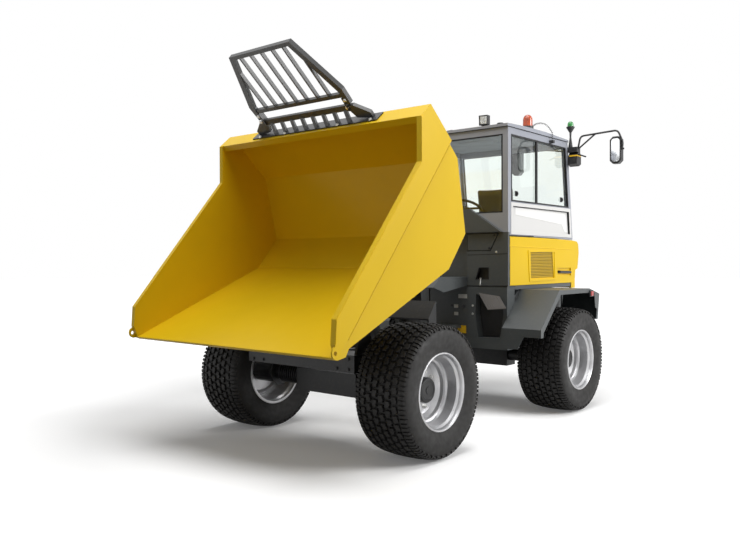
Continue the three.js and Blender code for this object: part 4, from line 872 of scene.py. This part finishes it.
def tread_plates():
    """Bent step plates with raised bars, one on each tank."""
    corners = [(-519, 368, 1190), (-519, 608, 1163), (-442, 724, 1054), (-442, 520, 1034)]
    for hand, sign in HANDS:
        low = [(px, sign * py, pz - 7) for px, py, pz in corners]
        high = [(px, sign * py, pz) for px, py, pz in corners]
        kit = Kit().plate(low, high)
        a, b, c, d = (Vector(p) for p in high)
        for i in range(1, 7):
            upper, lower = a.lerp(b, i / 7), d.lerp(c, i / 7)
            kit.rod(upper.lerp(lower, 0.12), upper.lerp(lower, 0.88), 3.4, 8)
        worn = metal("worn_step_" + hand, (0.085, 0.078, 0.073), 0.55, metallic=0.35)
        kit.finish(f"{hand}_tread_plate", "engine_grey", bevel=1.2, look=worn)


def centre_panel():
    x = -529.0
    blank = Kit().block(x, x + 2.5, 125, 232, 1130, 1172)
    blank.block(x, x + 2.5, 72, 123, 1031, 1066)
    blank.block(x, x + 2.5, 74, 124, 955, 990)
    blank.finish("blank_labels", "white_pane", bevel=0.6, look=LABEL_AND_LAMP_GLARE)
    warn = Kit().block(x, x + 2.0, 112, 217, 778, 856)
    warn.finish("blank_yellow_plate", "body_yellow", bevel=0.6, look=YELLOW_LABEL)
    plugs = Kit().rod((x, 186, 1047), (x + 13, 186, 1047), 17, 24, 14)
    plugs.rod((x, 44, 1053), (x + 5, 44, 1053), 12, 20, 11)
    plugs.finish("panel_plugs", "black_plastic", bevel=1.0)


def fender_gear():
    guard, carrier, lenses = Kit(), Kit(), Kit()
    outline = ((-1583, 1173), (-1699, 1151), (-1656, 1002), (-1610, 1020))
    for sign in (1, -1):
        carrier.block(-1552, -1474, *on_side(sign, 1096, 1112), 1136, 1200)
        lenses.block(-1542, -1486, *on_side(sign, 1111, 1120), 1144, 1192)
        guard.plate(*([(px, sign * y, pz) for px, pz in outline] for y in (1100.0, 1108.0)))
    guard.finish("lamp_guards", "dark_grey", bevel=1.5)
    carrier.finish("lamp_carriers", "black_plastic", bevel=2.0)
    lenses.finish("side_lenses", "amber_lens", bevel=2.0, look=RED_LENS)


def rear_gear():
    louvres = Kit()
    for i in range(9):
        z = 1446 + 15.5 * i
        # The hood's rear face leans back 32 mm in 178.
        face_x = -2112 - 32 * (z - 1420) / 178 + 2
        outline = [(face_x + 3, z), (face_x - 5, z + 2), (face_x - 5, z + 5), (face_x + 3, z + 9)]
        louvres.slab(outline, "y", -460, 460)
    louvres.finish("hood_louvres", "black_plastic", "engine_hood", bevel=0.6)
    latch = Kit().block(-2056, -2044, -70, 70, 1248, 1292)
    latch.rod((-2052, -46, 1270), (-2052, 46, 1270), 9, 16)
    latch.finish("hood_latch", "black_plastic", "engine_hood", bevel=2.0)
    tail, glow = Kit(), Kit()
    for sign in (1, -1):
        tail.block(-2030, -2019, *on_side(sign, 430, 545), 1080, 1150)
        glow.block(-2036, -2029, *on_side(sign, 438, 537), 1088, 1142)
    tail.finish("tail_carriers", "black_plastic", bevel=2.0)
    glow.finish("tail_lenses", "amber_lens", bevel=2.0, look=RED_LENS)
    bolts = Kit()
    for y in (-520, -260, 260, 520):
        for z in (640, 1020):
            bolts.bolt(-2020, y, z, (-1, 0, 0), 11, 9)
    bolts.finish("rear_plate_bolts", "chrome", bevel=0.5, look=STEEL)


def door_gear():
    hinges = Kit()
    for z in (1400, 2050, 2620):
        hinges.rod((-1250, -706, z - 36), (-1250, -706, z + 36), 9, 16)
    hinges.finish("door_hinges", "black_paint", bevel=1.0)
    seal = Kit().frame_bar([(-1195, 1785), (-633, 1785), (-633, 2663), (-1195, 2663)], "y", -702.5, -684, 12)
    seal.frame_bar([(-1195, 1333), (-633, 1333), (-633, 1735), (-1195, 1735)], "y", -702, -692, 9)
    seal.finish("door_seals", "black_plastic", "cab_door", bevel=1.0, look=RUBBER_SEAL)


# -------------------- skip and front frame details


def skip_gear():
    rims = Kit(skip_at)
    for sign in (1, -1):
        span = on_side(sign, 1138.2, 1141.5)
        rims.slab([(549, 772), (-869, 772), (-869, 730), (536, 730)], "y", *span)
        rims.slab([(549, 772), (675, 681), (646, 660), (536, 730)], "y", *span)
        rims.slab([(-869, 772), (-1119, 982), (-1150, 950), (-869, 730)], "y", *span)
    rims.finish("skip_rims", "body_yellow", "skip", bevel=1.2)
    welds = Kit(skip_at)
    for sign in (1, -1):
        y = sign * 1107.5
        welds.rod((-1262, y, 567), (560, y, 567), 4.5, 8)
    welds.finish("skip_welds", "body_yellow", "skip")
    bolts = Kit(skip_at)
    for y, z in ((487, 1180), (465, 1109), (-498, 1178), (-518, 1120)):
        bolts.bolt(-1198, y, z, (1, 0, 0), 11, 10)
    for y in (638, -609, 300, -300):
        bolts.bolt(-1165, y, 993, (0, 0, 1), 11, 9)
    bolts.finish("guard_bolts", "chrome", "skip", bevel=0.5, look=STEEL)


def front_frame_gear():
    body = "front_frame"
    ribs = Kit()
    fin = [(69, -5), (88, -5), (90, -2), (90, 2), (88, 5), (69, 5)]
    for sign in (1, -1):
        for i in range(9):
            ribs.lathe(fin, (WHEEL_X, sign * (352 + 27 * i), WHEEL_Z), (0, 1, 0), 40)
        ribs.lathe([(69, -6), (118, -6), (118, 6), (69, 6)], (WHEEL_X, sign * 638, WHEEL_Z), (0, 1, 0), 40)
    ribs.finish("axle_ribs", "black_paint", body, bevel=1.0, angle=28)
    fittings = Kit()
    for sign in (1, -1):
        for z in (680, 760):
            fittings.bolt(1620, sign * 420, z, (1, 0, 0), 12, 10)
            fittings.bolt(1620, sign * 540, z, (1, 0, 0), 12, 10)
        fittings.rod((1462, sign * 612, 1060), (1462, sign * 622, 1060), 30, 28)
    fittings.finish("beam_bolts", "black_paint", body, bevel=0.5)
    route = ((300, 150, 730), (360, 168, 700), (430, 150, 640), (470, 118, 590))
    for hand, sign in HANDS:
        tube(f"{hand}_tip_hose", [at(px, sign * y, z) for px, y, z in route], 9.5, body)


# -------------------- seat


def pad(name, half_x, half_y, half_z, place, lean, crown_up, body):
    """A stuffed pad: a crowned closed form whose sides pull in between its corners."""
    cells, layers = 12, 4
    points, faces, index = [], [], {}

    def put(i, j, k):
        key = (i, j, k)
        if key in index:
            return index[key]
        u, v, w = 2 * i / cells - 1, 2 * j / cells - 1, 2 * k / layers - 1
        dome = (1 - abs(u) ** 2.4) * (1 - abs(v) ** 2.4)
        pinch_x = 1 - 0.035 * (1 - v * v) * abs(u)
        pinch_y = 1 - 0.035 * (1 - u * u) * abs(v)
        soft = 1 - 0.16 * (abs(w) ** 3) * max(abs(u), abs(v)) ** 6
        px = u * half_x * pinch_x * soft
        py = v * half_y * pinch_y * soft
        pz = w * half_z * (0.74 + 0.26 * dome) if w > 0 else w * half_z * 0.9
        pz += crown_up * dome * max(0.0, w)
        channel = math.exp(-((abs(v) - 0.62) / 0.05) ** 2) * max(0.0, w)
        pz -= 7.0 * channel
        turned = (px * math.cos(lean) + pz * math.sin(lean), py, -px * math.sin(lean) + pz * math.cos(lean))
        index[key] = len(points)
        points.append(tuple(p + q for p, q in zip(place, turned)))
        return index[key]

    top, end = layers, cells
    for i in range(cells):
        for j in range(cells):
            faces.append((put(i, j, top), put(i + 1, j, top), put(i + 1, j + 1, top), put(i, j + 1, top)))
            faces.append((put(i, j, 0), put(i, j + 1, 0), put(i + 1, j + 1, 0), put(i + 1, j, 0)))
    for i in range(cells):
        for k in range(layers):
            faces.append((put(i, 0, k), put(i + 1, 0, k), put(i + 1, 0, k + 1), put(i, 0, k + 1)))
            faces.append((put(i, end, k), put(i, end, k + 1), put(i + 1, end, k + 1), put(i + 1, end, k)))
            faces.append((put(0, i, k), put(0, i, k + 1), put(0, i + 1, k + 1), put(0, i + 1, k)))
            faces.append((put(end, i, k), put(end, i + 1, k), put(end, i + 1, k + 1), put(end, i, k + 1)))
    kit = Kit()
    kit.add(points, faces)
    obj = kit.finish(name, "seat_fabric", body, angle=70)
    smooth = obj.modifiers.new("soft", "SUBSURF")
    smooth.levels = smooth.render_levels = 1
    return obj


def seat():
    body = "operator_station"
    sx = -1240.0  # x that the seat's parts are placed from
    cushion = pad("seat_cushion", 238, 232, 56, (sx - 5, 0, 1664), 0.0, 6, body)
    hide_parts("operator_seat")
    lean = math.radians(90 - 5.5)
    pad("seat_back", 292, 222, 44, (sx - 243, 0, 2020), -lean + math.pi, 4, body)
    mount = Kit()
    for sign in (1, -1):
        mount.block(sx - 238, sx - 192, *on_side(sign, 238, 272), 1662, 1802)
    mount.block(sx - 246, sx - 170, -205, 205, 1604, 1616)
    mount.finish("seat_frame", "black_plastic", body, bevel=4.0)
    for hand, sign in HANDS:
        pad(f"{hand}_armrest", 160, 27, 20, (sx - 76, sign * 265, 1822), 0.0, 2, body)


def strain_relief():
    """A tapering sleeve where the lead leaves the beacon."""
    first, second = lead_route()[:2]
    along = (second - first).normalized()
    kit = Kit(lambda x, y, z: Vector((x, y, z)))
    kit.rod(first - along * 0.014, first + along * 0.016, 7.5, 20, 3.2)
    kit.finish("lead_relief", "black_plastic", bevel=0.4, look=HOSE, angle=40)


cab_seals()
side_film()
window_latches()
roof_gear()
for hand, sign in HANDS:
    work_light(hand, sign * 430.0)
beacons()
mirror_faces()
intake_and_panel()
front_wall()
tread_plates()
centre_panel()
fender_gear()
rear_gear()
door_gear()
skip_gear()
front_frame_gear()
seat()
strain_relief()

# -------------------- CAD nodes kept as they are

SLOTS = {part["node"]: part["material_slot"] for part in frame["record"]["subparts"]}
CAD_EDGE, PANE_EDGE = 0.003, 0.0012
for node, obj in frame["nodes"].items():
    if obj.hide_render:
        continue
    obj.data.materials.clear()
    # Guard nodes take the lighter paint that carries the guard's painted sheen.
    obj.data.materials.append(GUARD_PAINT_AND_SHEEN if "guard" in node else MATERIALS[SLOTS[node]])
    soft_edge = obj.modifiers.new("edges", "BEVEL")
    soft_edge.width = PANE_EDGE if SLOTS[node] == "clear_glass" else CAD_EDGE
    soft_edge.segments = 2
    soft_edge.limit_method = "ANGLE"
    soft_edge.angle_limit = math.radians(35)
    soft_edge.use_clamp_overlap = True
    for polygon in obj.data.polygons:
        polygon.use_smooth = True
    obj.modifiers.new("normals", "WEIGHTED_NORMAL").keep_sharp = True

# -------------------- floor and light


FLOOR_BOUNCE = (0.22, 0.22, 0.22)  # the floor's colour as it lights the machine from below
FLOOR_GLOW = 0.10  # light the floor gives off to the camera under the machine
FLOOR_NEAR, FLOOR_FAR = 2.9, 6.2  # metres between which that rises to plain white
FLOOR_HALF = 60.0
WORLD_LIGHT = 0.19  # the white surroundings' strength as a lamp; the camera sees 1.0


def sight(tree):
    """One for rays that show a thing: from the camera, a mirror or a pane. Else nought."""
    path = tree.nodes.new("ShaderNodeLightPath")
    answer = path.outputs["Is Camera Ray"]
    for kind in ("Is Glossy Ray", "Is Transmission Ray"):
        either = tree.nodes.new("ShaderNodeMath")
        either.operation = "MAXIMUM"
        tree.links.new(answer, either.inputs[0])
        tree.links.new(path.outputs[kind], either.inputs[1])
        answer = either.outputs[0]
    return answer


def floor_material():
    """Pale floor that keeps the machine's shadow and turns plain white away from it."""
    nodes = Nodes("studio_floor")
    nodes.set(Roughness=0.9, Specular_IOR_Level=0.05)
    seen = sight(nodes.tree)
    grain = nodes.ramp(nodes.noise(0.6, 2.0), [(0.3, (0.955, 0.955, 0.955)), (0.7, (0.97, 0.97, 0.97))])
    nodes.base(nodes.mix(seen, FLOOR_BOUNCE, grain))
    away = nodes.add("ShaderNodeVectorMath", operation="LENGTH")
    nodes.link(nodes.place, away.inputs[0])
    level = nodes.add("ShaderNodeMath", operation="MULTIPLY")
    nodes.link(seen, level.inputs[0])
    nodes.link(nodes.span(away.outputs["Value"], FLOOR_NEAR, FLOOR_FAR, FLOOR_GLOW, 1.0), level.inputs[1])
    glow = nodes.add("ShaderNodeEmission")
    nodes.link(level.outputs[0], glow.inputs["Strength"])
    total = nodes.add("ShaderNodeAddShader")
    nodes.link(nodes.shader.outputs[0], total.inputs[0])
    nodes.link(glow.outputs[0], total.inputs[1])
    nodes.link(total.outputs[0], nodes.tree.nodes["Material Output"].inputs["Surface"])
    return nodes.material


def studio():
    mesh = bpy.data.meshes.new("floor")
    corners = [(a * FLOOR_HALF, b * FLOOR_HALF, 0) for a, b in ((-1, -1), (1, -1), (1, 1), (-1, 1))]
    mesh.from_pydata(corners, [], [(0, 1, 2, 3)])
    mesh.materials.append(floor_material())
    new_object("floor", mesh)
    world = bpy.data.worlds.new("studio")
    world.use_nodes = True
    bpy.context.scene.world = world
    tree = world.node_tree
    span = tree.nodes.new("ShaderNodeMapRange")
    span.inputs["To Min"].default_value = WORLD_LIGHT
    span.inputs["To Max"].default_value = 1.0
    tree.links.new(sight(tree), span.inputs["Value"])
    tree.links.new(span.outputs["Result"], tree.nodes["Background"].inputs["Strength"])
    tree.nodes["Background"].inputs["Color"].default_value = (1, 1, 1, 1)


def lamp(name, place, aim, size, power):
    data = bpy.data.lights.new(name, "AREA")
    data.shape = "DISK"
    data.size = size
    data.energy = power
    obj = new_object(name, data)
    obj.location = at(*place)
    obj.rotation_euler = (at(*aim) - obj.location).to_track_quat("-Z", "Y").to_euler()


studio()
lamp("key", (-3000, 8200, 4500), (-200, 0, 1300), 4.5, 690)
lamp("top", (1400, 900, 8200), (0, 0, 0), 7.0, 560)
lamp("front", (9000, -1500, 4200), (0, 0, 900), 5.0, 30)
bpy.context.scene.view_settings.view_transform = "Standard"
